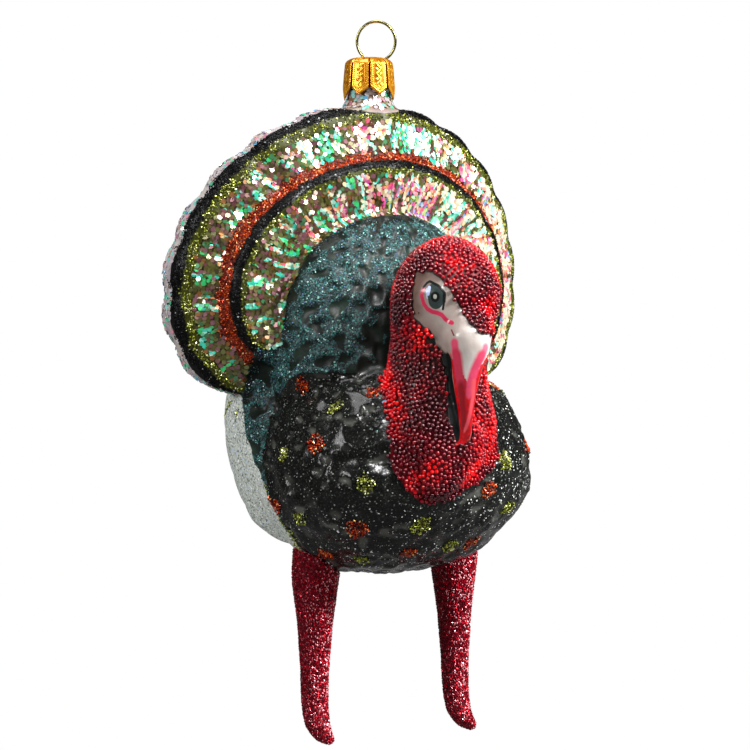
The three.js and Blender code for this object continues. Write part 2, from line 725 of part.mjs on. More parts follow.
const finishes = {
  glass: { color: 0x2f5a5c, roughness: 0.3, metalness: 0.3 },
  redGlitter: { color: 0x8c0f1d, roughness: 0.5, metalness: 0.3 },
  redBeads: { color: 0xb0101c, roughness: 0.25, metalness: 0.1 },
  blackGlitter: { color: 0x161616, roughness: 0.6, metalness: 0.2 },
  limeGlitter: { color: 0xaab432, roughness: 0.5, metalness: 0.4 },
  orangeGlitter: { color: 0xc2410c, roughness: 0.5, metalness: 0.4 },
  flakes: { color: 0xb9c9bd, roughness: 0.25, metalness: 0.5 },
  gold: { color: 0xd9992e, roughness: 0.3, metalness: 1 },
  wire: { color: 0x8f8450, roughness: 0.35, metalness: 1 },
};

const ornament = new THREE.Group();
ornament.position.z = -hangHeight;
function add(name, solid, finish) {
  const mesh = new THREE.Mesh(geometryOf(solid), new THREE.MeshStandardMaterial(finishes[finish]));
  mesh.name = name;
  ornament.add(mesh);
}

add("hanger_wire", wireLoop(), "wire");
add("hanger_cap", cap(), "gold");
add("glass_bird", glassBird(), "glass");
add("left_leg", leg(1), "redGlitter");
add("right_leg", leg(-1), "redGlitter");
add("head_bead_coat", beadCoat(), "redBeads");
const fanSkins = [
  ["fan_outer_black_band", ["rim", "outerBand"], bandThickness, "blackGlitter"],
  ["fan_outer_lime_band", ["outerBand", "outerEdging"], bandThickness, "limeGlitter"],
  ["fan_outer_flake_coat", ["outerEdging", "outerField", "orangeTop"], flakeCoatThickness, "flakes"],
  ["fan_orange_band", ["orangeTop", "orangeFoot"], bandThickness, "orangeGlitter"],
  ["fan_inner_black_band", ["tierEdge", "innerBand"], bandThickness, "blackGlitter"],
  ["fan_inner_lime_band", ["innerBand", "innerEdging"], bandThickness, "limeGlitter"],
  ["fan_inner_flake_coat", ["innerEdging", "innerField", "coverts"], flakeCoatThickness, "flakes"],
];
for (const [name, rows, thickness, finish] of fanSkins)
  add(name, fanSkin(rows, thickness).subtract(trunkWithGap), finish);

const addDots = (name, places, finish) =>
  places.forEach(([turn, heightShare, sizeShare, body], i) =>
    add(`${name}_${i + 1}`, dot(degToRad(turn), heightShare, sizeShare, body), finish),
  );
addDots("orange_dot", orangeDotShares, "orangeGlitter");
addDots("lime_dot", limeDotShares, "limeGlitter");

export default ornament;
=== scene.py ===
from math import atan2, cos, pi, radians, sin

import bpy
import numpy as np
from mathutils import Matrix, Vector, noise
from mathutils.bvhtree import BVHTree


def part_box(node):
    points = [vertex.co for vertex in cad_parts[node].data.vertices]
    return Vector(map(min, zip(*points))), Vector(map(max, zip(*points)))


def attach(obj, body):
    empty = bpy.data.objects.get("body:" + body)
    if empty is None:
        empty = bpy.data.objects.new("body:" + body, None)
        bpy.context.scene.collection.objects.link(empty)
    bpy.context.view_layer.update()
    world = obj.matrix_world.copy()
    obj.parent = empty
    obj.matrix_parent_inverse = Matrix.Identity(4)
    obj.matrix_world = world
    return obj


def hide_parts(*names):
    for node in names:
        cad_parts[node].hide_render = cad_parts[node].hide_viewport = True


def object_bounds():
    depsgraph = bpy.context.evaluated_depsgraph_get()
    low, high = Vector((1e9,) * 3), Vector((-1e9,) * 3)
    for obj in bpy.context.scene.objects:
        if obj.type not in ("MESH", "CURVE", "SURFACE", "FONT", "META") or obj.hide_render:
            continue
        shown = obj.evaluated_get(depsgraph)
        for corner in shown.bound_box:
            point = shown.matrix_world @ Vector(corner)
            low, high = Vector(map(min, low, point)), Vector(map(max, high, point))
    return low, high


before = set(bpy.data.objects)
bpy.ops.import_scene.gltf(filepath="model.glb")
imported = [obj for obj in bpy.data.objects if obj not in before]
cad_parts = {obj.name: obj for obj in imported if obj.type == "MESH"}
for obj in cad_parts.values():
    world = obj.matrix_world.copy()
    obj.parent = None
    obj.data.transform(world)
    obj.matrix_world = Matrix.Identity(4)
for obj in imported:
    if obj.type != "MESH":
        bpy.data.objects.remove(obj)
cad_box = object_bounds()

# The glass body. One mould-blown piece of glass, silvered inside and lacquered outside, with a fluted tail
# in two tiers, overlapping feathers over back and breast, and a glass neck on top. The copy of its solid is
# remeshed finely and softened, as glass is, and the feathers are then raised from it. The edges of the
# tail's rows are given by their shares of its width and height, and by how far forward each stands.
mm = 0.001
glass_grain = 0.56
soften_passes = 12
neck_foot = -20.2
head_front = -33.2
breast_top = -77.2
chin = -91.2
fan_middle = -61.43
fan_half_width = 45.7
fan_rise = 43.0
fan_sweep = 11.5
fan_edges = [(1, 1), (0.965, 0.963), (0.922, 0.912), (0.83, 0.758), (0.792, 0.719), (0.782, 0.707),
             (0.75, 0.674), (0.722, 0.647), (0.569, 0.453)]
fan_depths = [-2.6, -3.4, -4.0, -5.4, -6.0, -8.2, -8.7, -8.9, -7.6]


def select_only(piece):
    bpy.ops.object.select_all(action="DESELECT")
    piece.select_set(True)
    bpy.context.view_layer.objects.active = piece


def apply_modifiers(piece):
    select_only(piece)
    for modifier in list(piece.modifiers):
        bpy.ops.object.modifier_apply(modifier=modifier.name)


def shade_smooth(piece):
    piece.data.polygons.foreach_set("use_smooth", [True] * len(piece.data.polygons))


def join_corners(piece, gap):
    select_only(piece)
    bpy.ops.object.mode_set(mode="EDIT")
    bpy.ops.mesh.select_all(action="SELECT")
    bpy.ops.mesh.remove_doubles(threshold=gap * mm)
    bpy.ops.mesh.select_all(action="DESELECT")
    bpy.ops.object.mode_set(mode="OBJECT")


def copy_of_node(part, name):
    """The shape of one of the solids as a new piece, with its triangles joined at their corners."""
    piece = bpy.data.objects.new(name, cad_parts[part].data.copy())
    bpy.context.scene.collection.objects.link(piece)
    piece.data.materials.clear()
    join_corners(piece, 0.002)
    return piece


def soften(piece, passes):
    smooth = piece.modifiers.new("soften", "SMOOTH")
    smooth.factor = 0.5
    smooth.iterations = passes
    apply_modifiers(piece)


def soften_solid(piece, grain, passes):
    """Turns the flat faces of a solid into one smooth skin of small, even faces."""
    remesh = piece.modifiers.new("remesh", "REMESH")
    remesh.mode = "VOXEL"
    remesh.voxel_size = grain * mm
    soften(piece, passes)
    shade_smooth(piece)


def corners_of(piece):
    """The corners in millimetres and the directions they face."""
    places = np.empty(len(piece.data.vertices) * 3)
    piece.data.vertices.foreach_get("co", places)
    facing = np.empty(len(piece.data.vertices) * 3)
    piece.data.vertices.foreach_get("normal", facing)
    return places.reshape(-1, 3) / mm, facing.reshape(-1, 3)


def move_corners(piece, places):
    piece.data.vertices.foreach_set("co", (places * mm).ravel())
    piece.data.update()


def keep_value(piece, name, values):
    layer = piece.data.attributes.get(name) or piece.data.attributes.new(name, "FLOAT", "POINT")
    layer.data.foreach_set("value", np.asarray(values, dtype=np.float32))


def ease(low, high, values):
    share = np.clip((values - low) / (high - low), 0, 1)
    return share * share * (3 - 2 * share)


def mottle(places, size, seed):
    """Soft random patches, from -1 to 1, of about a size in millimetres."""
    offset = Vector((seed * 13.7, seed * 5.1, seed * 9.3))
    return np.array([noise.noise(Vector(p) / size + offset) for p in places])


def feather_rows(across, down, width, pitch, seed):
    """How high, from 0 at the root to 1 at the tip, each place lies on rows of overlapping feathers."""
    across = across + 0.8 * np.sin(down * 0.5 + seed) + 0.5 * np.sin(across * 0.37 + seed * 2)
    down = down + 1.1 * np.sin(across * 0.29 + seed * 3)
    height = np.zeros_like(across)
    settled = np.zeros(across.shape, bool)
    for back in (0, 1, 2):
        row = np.floor(down / pitch) - back
        shift = np.mod(row, 2) / 2 * width
        column = np.round((across - shift) / width)
        reach = np.hypot(across - shift - column * width, (down - row * pitch) * 0.6) / (width * 0.62)
        covered = (reach < 1) & ~settled
        height[covered] = reach[covered]
        settled |= covered
    return height


glass_body = copy_of_node("glass_bird", "glass_body")
soften_solid(glass_body, glass_grain, soften_passes)
places, facing = corners_of(glass_body)
x, y, z = places.T
rise = z - fan_middle

# How far inside each edge of the tail's rows a place lies, and between which rows, counted from the rim. A
# value named on_ says how far inside the edge of a coat or a part each place lies, and is below 0 outside.
insides = []
for width_share, rise_share in fan_edges:
    half, height = fan_half_width * width_share, fan_rise * rise_share
    lift = np.degrees(np.arctan2(rise / height, np.abs(x) / half))
    draw = np.interp(lift, [-90, -63, -43, -31, -16, 0], [0.6, 0.66, 0.8, 0.93, 0.99, 1])
    share = np.hypot(x / half, rise / height) / draw
    insides.append((1 - share) * np.hypot(x, rise) / np.maximum(share, 0.05))
fan_place = sum(np.clip(a / np.maximum(a - b, 0.01), 0, 1) for a, b in zip(insides, insides[1:]))
fan_swept = fan_sweep * (x / fan_half_width) ** 2
fan_swell = 2.6 * np.exp(-((x / 9) ** 2)) * np.maximum(0, rise / fan_rise) * ease(0.0, 1.0, fan_place)
before_fan = np.interp(fan_place, range(9), fan_depths) + fan_swept - fan_swell - y
behind_fan = np.interp(fan_place, [0, 2, 4, 5, 6, 8], [3.4, 5.0, 6.6, 8.2, 8.9, 9.4])
behind_fan = y - behind_fan - fan_swept - fan_swell
beside_body = np.where(z < -72, np.abs(x) - 31, 9.0)
below_neck = neck_foot - z + 0.02 * x**2
on_fan_front = np.minimum.reduce([1.9 - np.abs(before_fan), beside_body, z + 83, below_neck])
on_fan_back = np.minimum.reduce([2.6 - np.abs(behind_fan), z + 82, below_neck])
outwards = facing[:, 0] * x / fan_half_width + facing[:, 2] * rise / fan_rise
outwards = outwards / np.maximum(np.hypot(x / fan_half_width, rise / fan_rise), 0.01)
on_rim = np.minimum.reduce([
    2.2 * (outwards - 0.3), 1.6 - insides[0], y - fan_swept + 1.7, 6.5 - np.abs(y - fan_swept - 1),
    z + 84, beside_body, neck_foot - 0.4 - z + 0.05 * x**2])

# Where the black of the breast ends and the silver of the wings begins: a depth for each height.
black_edge = np.interp(z, [-125, -115, -112, -107.6, -101, -96, -90.5, -84, -78.7, -77], [
    -9.5, -10.3, -11.2, -10.2, -8, -3.8, -4.4, -3.2, -9.5, -13])
on_black = np.minimum(black_edge - y, (breast_top - z) * 1.5)
wing_edge = np.interp(z, [-125, -115, -107.6, -102.5, -98.9, -92, -84.5, -77.8, -70], [
    -9.5, -10.3, -10.2, -8.2, -1.3, 1.9, 4.3, 1, 0])
on_wing = np.where(z < -70, np.minimum(y - wing_edge, 24 - y), -5.0)
on_wing = np.minimum(on_wing, np.abs(x) - 21.6 + 0.5 * np.sin(z * 0.7))

coat_tree = BVHTree.FromObject(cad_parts["head_bead_coat"], bpy.context.evaluated_depsgraph_get())
coat_gap = np.array([(coat_tree.find_nearest(Vector(p * mm))[3] or 1) / mm for p in places])


def inside_outline(across, down, corners):
    """How far inside an outline each place of a chart lies, in millimetres, and below 0 outside it."""
    gap = np.full(across.shape, 99.0)
    inside = np.zeros(across.shape, bool)
    for (ax, ay), (bx, by) in zip(corners, corners[1:] + corners[:1]):
        along = ((across - ax) * (bx - ax) + (down - ay) * (by - ay)) / ((bx - ax) ** 2 + (by - ay) ** 2)
        along = np.clip(along, 0, 1)
        gap = np.minimum(gap, np.hypot(across - ax - along * (bx - ax), down - ay - along * (by - ay)))
        if ay != by:
            crossing = ax + (down - ay) / (by - ay) * (bx - ax)
            inside ^= ((ay > down) != (by > down)) & (across < crossing)
    return np.where(inside, gap, -gap)


# Charts of the face, around the head, and of the beak, around its own middle, in millimetres. The beads
# leave the right of the face bare from the brow down to the beak, and the left of it further round.
right_of_face = -np.arctan2(x + 0.97, -(y + 33.5)) * 11.6
left_shift = 8.0
bead_reach = 0.62
face_across = np.where(right_of_face > 0, right_of_face, -right_of_face - left_shift)
bare_right = [(14.2, -54.7), (9.0, -54.9), (4.9, -57.9), (2.4, -62.2), (1.7, -65.6), (0.5, -67.5),
              (-6, -68.0), (-6, -73), (3.5, -73), (5.9, -70.8), (9.9, -66.9), (13.8, -64.2), (13.9, -58.5)]
bare_left = [(22.1, -55.2), (17.0, -54.9), (13.2, -57.6), (11.2, -61.6), (9.4, -65.2), (5.2, -67.4),
             (0, -67.9), (-3, -73), (4.1, -71.6), (10.0, -69.3), (16.5, -67.2), (21.4, -64.4), (22.3, -59.5)]
face_wobble = 0.45 * mottle(places, 1.7, 9)
beak_down = (-69 - z) / 21
beak_aside, beak_ahead = x + 1.9 + 1.1 * beak_down, y + 45.1 - 0.6 * beak_down
beak_across = np.arctan2(beak_aside, -beak_ahead) * 4
beak_radius = np.interp(z, [-90.7, -86.2, -80.5, -74.8, -69.3, -67.5], [0.8, 2.2, 3.2, 4.3, 5.8, 5.6])
on_beak = np.minimum(beak_radius + 0.5 - np.hypot(beak_aside, beak_ahead), -67.6 - z)
front_of_head = np.minimum(head_front - y, z - chin)
bare = np.maximum(inside_outline(right_of_face, z, bare_right), inside_outline(-right_of_face, z, bare_left))
bare = np.maximum(bare + face_wobble, on_beak)
below_brow = np.minimum.reduce([-68.2 - z, coat_gap - bead_reach, on_beak + 0.6])
bare = np.maximum(bare, below_brow)
on_face = np.minimum(bare, front_of_head)
bib_spread = 1.9 * np.exp(-(((z + 96.5) / 4.5) ** 2))
on_beads = np.maximum(bead_reach + bib_spread - coat_gap, np.minimum(head_front - y, z + 68.4))
on_beads = np.minimum(on_beads, np.where(front_of_head > 0, -bare, 9))
clear_of_head = ease(0.8, 3.0, coat_gap) * (1 - ease(-0.5, 0.3, front_of_head))

# The relief, in millimetres outwards: feathers on the hump and the breast, with dents in the black lacquer,
# vanes on the wings, a brow over each eye, flutes on the back of the tail, and a fuller crown of the head.
around = np.arctan2(x, -(y + 6))
hump_feathers = feather_rows(around * 21, -z, 5.4, 3.9, 0.4)
breast_feathers = feather_rows(around * 30, -z, 7.6, 6.6, 1.9)
on_fan = np.maximum(np.maximum(on_fan_front, on_fan_back), on_rim)
body_share = (1 - ease(-0.6, 0.4, on_fan)) * clear_of_head * (1 - ease(-24, -21, z))
black_share = ease(-0.8, 0.8, on_black) * clear_of_head
wing_share = ease(-0.8, 0.8, on_wing) * (1 - black_share)
back_share = body_share * (1 - black_share) * (1 - wing_share)
wander = mottle(places, 6, 1)
relief = back_share * (0.95 * hump_feathers**2 - 0.4 + 0.55 * wander + 0.3 * mottle(places, 3, 8))
relief += black_share * (0.55 * breast_feathers**3 - 0.3 + 0.6 * wander + 0.35 * mottle(places, 3.5, 7))
dent = ease(0.27, 0.5, mottle(places * (1, 1, 1.7), 3.6, 14)) * black_share * (coat_gap > 2.2)
relief -= 0.5 * dent
vane = np.abs(np.sin((y * 0.8 + z * 0.62) * 0.42 + wander)) ** 0.5
relief += 0.4 * wing_share * body_share * (vane - 0.6) * ease(0, 3, on_wing)
relief += 0.3 * np.exp(-((face_across - 8) ** 2 + (z + 59.6) ** 2) / 6) * ease(0, 1, on_face)
flutes = 0.45 * np.cos(np.arctan2(rise, x) * 26)
relief += flutes * ease(0.5, 1.5, on_fan_back) * (1 - ease(30, 34, np.abs(x)))
relief += 0.9 * ease(-57, -48, z) * ease(0, 0.5, on_beads)


def settle(spots):
    """The underside is drawn in a little towards the legs, more in front than under the wings."""
    across, ahead, height = spots.T
    front = np.interp(height, [-122, -119.5, -116.5, -113.7, -110, -106, -102], [
        0.81, 0.83, 0.845, 0.88, 0.935, 0.975, 1])
    behind = np.interp(height, [-122, -119.4, -113], [0.9, 0.925, 1])
    share = ease(-4, 8, ahead)
    draw = front + (behind - front) * share
    return np.column_stack([across * draw, (ahead + 2) * draw - 2, height])


# The beak is narrower on its left side than the solid is.
beak_pinch = np.interp(z, [-91, -87, -84, -80, -75.5, -72, -69, -66, -63], [
    0.1, 0.44, 0.5, 0.47, 0.34, 0.28, 0.24, 0.1, 0])
beak_pinch = beak_pinch * ease(0.0, 2.5, beak_aside) * (1 - ease(-41, -37, y))
beak_pinch = beak_pinch * ease(-0.4, 0.6, -y - 42.6 + 0.9 * (z < -84))
places = places + facing * relief[:, None]
places[:, 0] -= beak_pinch * beak_aside
move_corners(glass_body, settle(places))
soften(glass_body, 3)
places, facing = corners_of(glass_body)

hollows = hump_feathers + 0.75 * mottle(places, 3.0, 2) + 0.5 * wander
# Near the head the teal thins out, so the dark bare glass there is a painted shadow.
teal_share = back_share * ease(0.3, 0.55, hollows - 0.35 * (1 - ease(3, 9, coat_gap)))
# A painted shade: a dark band, bare of teal, along the edge of the hump where it meets the tail, kept as
# "shade".
near_fan = on_fan + 0.8 * mottle(places, 2.5, 6)
crease = ease(-2.4, -1.2, near_fan) * (1 - ease(-0.5, 0.3, on_fan)) * back_share
for name, values in {
    "on_black": on_black, "on_wing": on_wing, "on_beads": on_beads, "on_face": on_face,
    "on_fan": np.maximum(on_fan_front, on_fan_back), "fan_place": fan_place,
    "face_across": face_across, "beak_across": beak_across, "teal_share": teal_share * (1 - crease),
    "shade": crease, "on_beak": on_beak, "dent": dent,
    "on_pale": np.maximum.reduce([on_rim, on_fan_back + 0.3, np.minimum(-below_neck, 9)]),
}.items():
    keep_value(glass_body, name, values)


def paint(red, green, blue):
    """A colour as a painter mixes it, from 0 to 255, as the shader needs it."""
    return (*(((c / 255 + 0.055) / 1.055) ** 2.4 if c > 10 else c / 3295 for c in (red, green, blue)), 1)


def step(tree, kind, inputs=(), **settings):
    """Adds a node, with its settings, and its inputs as values or as links from other nodes."""
    made = tree.nodes.new(kind)
    for name, value in settings.items():
        setattr(made, name, value)
    for socket, value in dict(inputs).items():
        if isinstance(socket, str):
            socket = next(i for i, s in enumerate(made.inputs) if s.name == socket and s.enabled)
        if isinstance(value, bpy.types.NodeSocket):
            tree.links.new(value, made.inputs[socket])
        else:
            made.inputs[socket].default_value = value
    return made


def result(made, name=None):
    """The output of a node that is in use, by its name if it has several."""
    return next(s for s in made.outputs if s.enabled and (name is None or s.name == name))


def sums(tree, operation, a, b=0.0, c=None, clamp=False):
    values = {0: a, 1: b} if c is None else {0: a, 1: b, 2: c}
    return result(step(tree, "ShaderNodeMath", values, operation=operation, use_clamp=clamp))


def scaled(tree, value, times, plus, clamp=False):
    return sums(tree, "MULTIPLY_ADD", value, times, plus, clamp)


def swayed(tree, sway, reach, value=0.5):
    """A value moved up or down by up to half a reach, as another from 0 to 1 says."""
    return scaled(tree, sums(tree, "SUBTRACT", sway, 0.5), reach, value)


def graded(tree, value, low, high, to_low=0.0, to_high=1.0):
    """How far a value has come from low to high, from 0 to 1 or between two other numbers."""
    return result(step(tree, "ShaderNodeMapRange", {
        "Value": value, "From Min": low, "From Max": high, "To Min": to_low, "To Max": to_high}))


def vectors(tree, operation, a, b=(0, 0, 0), times=1.0):
    return result(step(tree, "ShaderNodeVectorMath", {0: a, 1: b, 3: times}, operation=operation))


def here(tree):
    return step(tree, "ShaderNodeTexCoord").outputs["Object"]


def noise_at(tree, place, scale, detail):
    return step(tree, "ShaderNodeTexNoise", {"Vector": place, "Scale": scale, "Detail": detail}).outputs[0]


def parts_of(tree, place):
    return step(tree, "ShaderNodeSeparateXYZ", {0: place}).outputs


def flat_place(tree, across, up):
    return step(tree, "ShaderNodeCombineXYZ", {"X": across, "Y": up}).outputs[0]


def kept(tree, name):
    return step(tree, "ShaderNodeAttribute", attribute_name=name).outputs["Fac"]


def mix(tree, share, a, b):
    """One colour over another."""
    return result(step(tree, "ShaderNodeMix", {0: share, 6: a, 7: b}, data_type="RGBA"), "Result")


def shades(tree, share, stops, hard=False):
    """A row of colours, each its place and its red, green and blue, read at a share from 0 to 1."""
    made = step(tree, "ShaderNodeValToRGB", {"Fac": share})
    ramp = made.color_ramp
    ramp.interpolation = "CONSTANT" if hard else "LINEAR"
    while len(ramp.elements) < len(stops):
        ramp.elements.new(1)
    for element, (place, *colour) in zip(ramp.elements, stops):
        element.position = place
        element.color = paint(*colour)
    return made.outputs["Color"]


def new_effect(name, inputs, outputs):
    """An empty group of shader nodes with named inputs and outputs."""
    group = bpy.data.node_groups.new(name, "ShaderNodeTree")
    kinds = {"value": "NodeSocketFloat", "vector": "NodeSocketVector", "colour": "NodeSocketColor"}
    for socket, kind in inputs.items():
        group.interface.new_socket(socket, in_out="INPUT", socket_type=kinds[kind])
    for socket, kind in outputs.items():
        group.interface.new_socket(socket, in_out="OUTPUT", socket_type=kinds[kind])
    return group, group.nodes.new("NodeGroupInput").outputs, group.nodes.new("NodeGroupOutput").inputs


def effect(tree, group, **inputs):
    made = tree.nodes.new("ShaderNodeGroup")
    made.node_tree = group
    for socket, value in inputs.items():
        socket = made.inputs[socket.replace("_", " ")]
        if isinstance(value, bpy.types.NodeSocket):
            tree.links.new(value, socket)
        else:
            socket.default_value = value
    return made.outputs


# An effect for coats laid on by hand: a mask with a ragged edge, from how far inside its edge a place is.
ragged_edge, given, wanted = new_effect(
    "ragged_edge", {"Reach": "value", "Raggedness": "value", "Fineness": "value"}, {"Mask": "value"})
cloud = noise_at(ragged_edge, here(ragged_edge), given["Fineness"], 1.0)
shift = swayed(ragged_edge, cloud, given["Raggedness"], given["Reach"])
ragged_edge.links.new(graded(ragged_edge, shift, -0.1, 0.1), wanted["Mask"])

# An effect for fine glitter: every grain has a chance of its own, and tilts its own way.
fine_glitter, given, wanted = new_effect(
    "fine_glitter", {"Grains per metre": "value", "Tilt": "value"}, {"Chance": "value", "Normal": "vector"})
cells = step(fine_glitter, "ShaderNodeTexVoronoi",
             {"Vector": here(fine_glitter), "Scale": given["Grains per metre"]}).outputs["Color"]
lean = vectors(fine_glitter, "SUBTRACT", cells, (0.5, 0.5, 0.5))
lean = vectors(fine_glitter, "SCALE", lean, times=given["Tilt"])
lean = vectors(fine_glitter, "ADD", lean, step(fine_glitter, "ShaderNodeNewGeometry").outputs["Normal"])
luck = step(fine_glitter, "ShaderNodeSeparateColor", {"Color": cells}).outputs[0]
fine_glitter.links.new(luck, wanted["Chance"])
fine_glitter.links.new(vectors(fine_glitter, "NORMALIZE", lean), wanted["Normal"])

# An effect for paint: the mark of a brush drawn from one place of a chart to another.
brush_stroke, given, wanted = new_effect("brush_stroke", {
    "Place": "vector", "Start": "vector", "End": "vector", "Half Width": "value", "Softness": "value"},
    {"Mask": "value"})
from_start = vectors(brush_stroke, "SUBTRACT", given["Place"], given["Start"])
whole = vectors(brush_stroke, "SUBTRACT", given["End"], given["Start"])
along = sums(brush_stroke, "DIVIDE", vectors(brush_stroke, "DOT_PRODUCT", from_start, whole),
             vectors(brush_stroke, "DOT_PRODUCT", whole, whole), clamp=True)
gap = vectors(brush_stroke, "DISTANCE", from_start, vectors(brush_stroke, "SCALE", whole, times=along))
within = sums(brush_stroke, "SUBTRACT", given["Half Width"], gap)
within = sums(brush_stroke, "DIVIDE", within, given["Softness"])
brush_stroke.links.new(sums(brush_stroke, "ADD", within, 0.5, clamp=True), wanted["Mask"])


def new_finish(name, **constants):
    """A new material with the constants of its shader set."""
    material = bpy.data.materials.new(name)
    material.use_nodes = True
    shader = material.node_tree.nodes["Principled BSDF"]
    for socket, value in constants.items():
        shader.inputs[socket.replace("_", " ")].default_value = value
    return material, material.node_tree


def finish_with(tree, **results):
    """Joins results of other nodes to the inputs of a material's shader."""
    for socket, value in results.items():
        tree.links.new(value, tree.nodes["Principled BSDF"].inputs[socket.replace("_", " ")])


def ragged(tree, reach, raggedness, fineness):
    """The mask of a coat laid on by hand."""
    return effect(tree, ragged_edge, Reach=reach, Raggedness=raggedness, Fineness=fineness)["Mask"]


def painted(tree, colour, chart, within, marks):
    """A colour with marks of a brush on it, one after the other, inside a mask. Each has the places of a
    chart that it goes through, in millimetres, its half width, its softness, and its red, green and blue."""
    for points, half_width, softness, *tint in marks:
        mark = None
        for start, end in zip(points, points[1:]):
            stroke = effect(tree, brush_stroke, Place=chart, Start=(*start, 0), End=(*end, 0),
                            Half_Width=half_width, Softness=softness)["Mask"]
            mark = stroke if mark is None else sums(tree, "MAXIMUM", mark, stroke)
        colour = mix(tree, sums(tree, "MULTIPLY", mark, within), colour, paint(*tint))
    return colour


glass_paint, tree = new_finish("glass_paint", Coat_Roughness=0.18, Specular_IOR_Level=0.14)
glass_body.data.materials.append(glass_paint)
spot = here(tree)
spot_x, _, spot_z = parts_of(tree, spot)
patch = noise_at(tree, spot, 160.0, 2.0)
fine = noise_at(tree, spot, 1500.0, 2.0)
glitter = effect(tree, fine_glitter, Grains_per_metre=2900.0, Tilt=0.9)["Chance"]

# Bare green-grey glass shows in the hollows of the back, and teal glitter dust lies round them.
colour = shades(tree, patch, [(0.3, 12, 18, 14), (0.5, 22, 32, 26), (0.7, 38, 56, 47)])
# The painted shade along the crease where the hump meets the tail.
colour = mix(tree, kept(tree, "shade"), colour, paint(16, 22, 18))
teal_dust = shades(tree, glitter, [
    (0, 16, 34, 32), (0.35, 36, 64, 64), (0.62, 66, 84, 88),
    (0.84, 54, 116, 110), (0.97, 150, 200, 190)], hard=True)
dusted = ragged(tree, sums(tree, "SUBTRACT", kept(tree, "teal_share"), 0.32), 0.6, 900.0)
colour = mix(tree, dusted, colour, teal_dust)
rough = scaled(tree, dusted, 0.2, 0.4)

# Black glitter over the breast, too fine to tell apart, with painted glints: a few grains painted pale,
# more of them towards the right side, where the light falls, and low down.
frost = effect(tree, fine_glitter, Grains_per_metre=3700.0, Tilt=0.9)["Chance"]
low_down = scaled(tree, spot_z, -10.0, -0.95)
glint_spread = scaled(tree, spot_x, 9.0, scaled(tree, patch, 0.5, low_down))
glint_spread = graded(tree, glint_spread, 0.1, 0.5, -0.012, 0.015)
black_dust_and_glints = shades(tree, sums(tree, "ADD", frost, glint_spread), [
    (0, 14, 15, 14), (0.5, 22, 23, 21), (0.78, 34, 35, 32), (0.92, 66, 68, 64),
    (0.966, 130, 134, 128), (0.986, 240, 244, 240)], hard=True)
# Painted reflection: the dents in the black lacquer are painted a paler grey, as if they threw back light.
dent_sheen = sums(tree, "MULTIPLY", kept(tree, "dent"), scaled(tree, patch, 3.4, -1.1, clamp=True))
black_dust_and_glints = mix(tree, dent_sheen, black_dust_and_glints, paint(84, 85, 79))
blackened = ragged(tree, kept(tree, "on_black"), 1.4, 500.0)
colour = mix(tree, blackened, colour, black_dust_and_glints)
rough = scaled(tree, blackened, -0.2, rough)

# The wings' pale silver glitter.
wing_dust = shades(tree, glitter, [
    (0, 100, 104, 98), (0.12, 168, 174, 166), (0.4, 196, 202, 194),
    (0.75, 214, 218, 210), (0.92, 190, 206, 226), (0.97, 252, 252, 252)], hard=True)
winged = ragged(tree, kept(tree, "on_wing"), 0.9, 600.0)
colour = mix(tree, winged, colour, wing_dust)
rough = scaled(tree, winged, 0.15, rough)

# The tail's painted rows, under its glitter and flakes: black, lime, olive and mauve, orange, black, lime
# and olive again, and the bare glass at its heart.
ragged_place = swayed(tree, fine, 0.7, kept(tree, "fan_place"))
field = shades(tree, patch, [
    (0.25, 40, 44, 16), (0.42, 66, 66, 26), (0.52, 84, 58, 44), (0.62, 72, 74, 34), (0.8, 92, 70, 66)])
rows = shades(tree, sums(tree, "DIVIDE", ragged_place, 8.0), [
    (0, 10, 11, 10), (1 / 8, 66, 70, 14), (2 / 8, 0, 0, 0), (3 / 8, 104, 34, 8),
    (4.6 / 8, 10, 11, 10), (6 / 8, 62, 68, 14), (7 / 8, 0, 0, 0)], hard=True)
fields = shades(tree, sums(tree, "DIVIDE", kept(tree, "fan_place"), 8.0), [
    (0, 0, 0, 0), (2 / 8, 255, 255, 255), (3 / 8, 0, 0, 0), (7 / 8, 255, 255, 255)], hard=True)
rows = mix(tree, fields, rows, field)
tail = ragged(tree, kept(tree, "on_fan"), 0.7, 500.0)
colour = mix(tree, tail, colour, rows)

# Pearly paint on the back of the tail and round its rim, stained brown and green on the glass neck.
rim_paint = shades(tree, patch, [(0.3, 150, 138, 146), (0.55, 172, 164, 166), (0.8, 176, 168, 148)])
neck_paint = shades(tree, patch, [(0.36, 96, 116, 80), (0.5, 126, 84, 60), (0.62, 138, 124, 96)])
height = sums(tree, "MULTIPLY", spot_z, 1 / mm)
rim_paint = mix(tree, graded(tree, height, -21.0, -18.5), rim_paint, neck_paint)
rimmed = ragged(tree, kept(tree, "on_pale"), 0.5, 450.0)
colour = mix(tree, rimmed, colour, rim_paint)

# Red lacquer under the beads, and the bare, cream face, clear-lacquered, with painted light and shade: paler
# towards the beak and browner, as painted shade, away from it, over random patches.
beaded = ragged(tree, sums(tree, "SUBTRACT", kept(tree, "on_beads"), 0.35), 0.1, 800.0)
colour = mix(tree, beaded, colour, paint(112, 6, 18))
faced = ragged(tree, kept(tree, "on_face"), 0.15, 800.0)
face_across = kept(tree, "face_across")
face_tone_and_light = scaled(tree, graded(tree, face_across, 14.0, -2.0), 0.5, sums(tree, "MULTIPLY", patch, 0.55))
flesh_light_and_shade = shades(tree, face_tone_and_light, [
    (0.28, 108, 84, 74), (0.42, 148, 130, 122), (0.6, 174, 160, 152), (0.78, 214, 208, 202)])
colour = mix(tree, faced, colour, flesh_light_and_shade)
finish_with(tree, Coat_Weight=scaled(tree, faced, 0.4, 0.03))
chart = flat_place(tree, face_across, height)

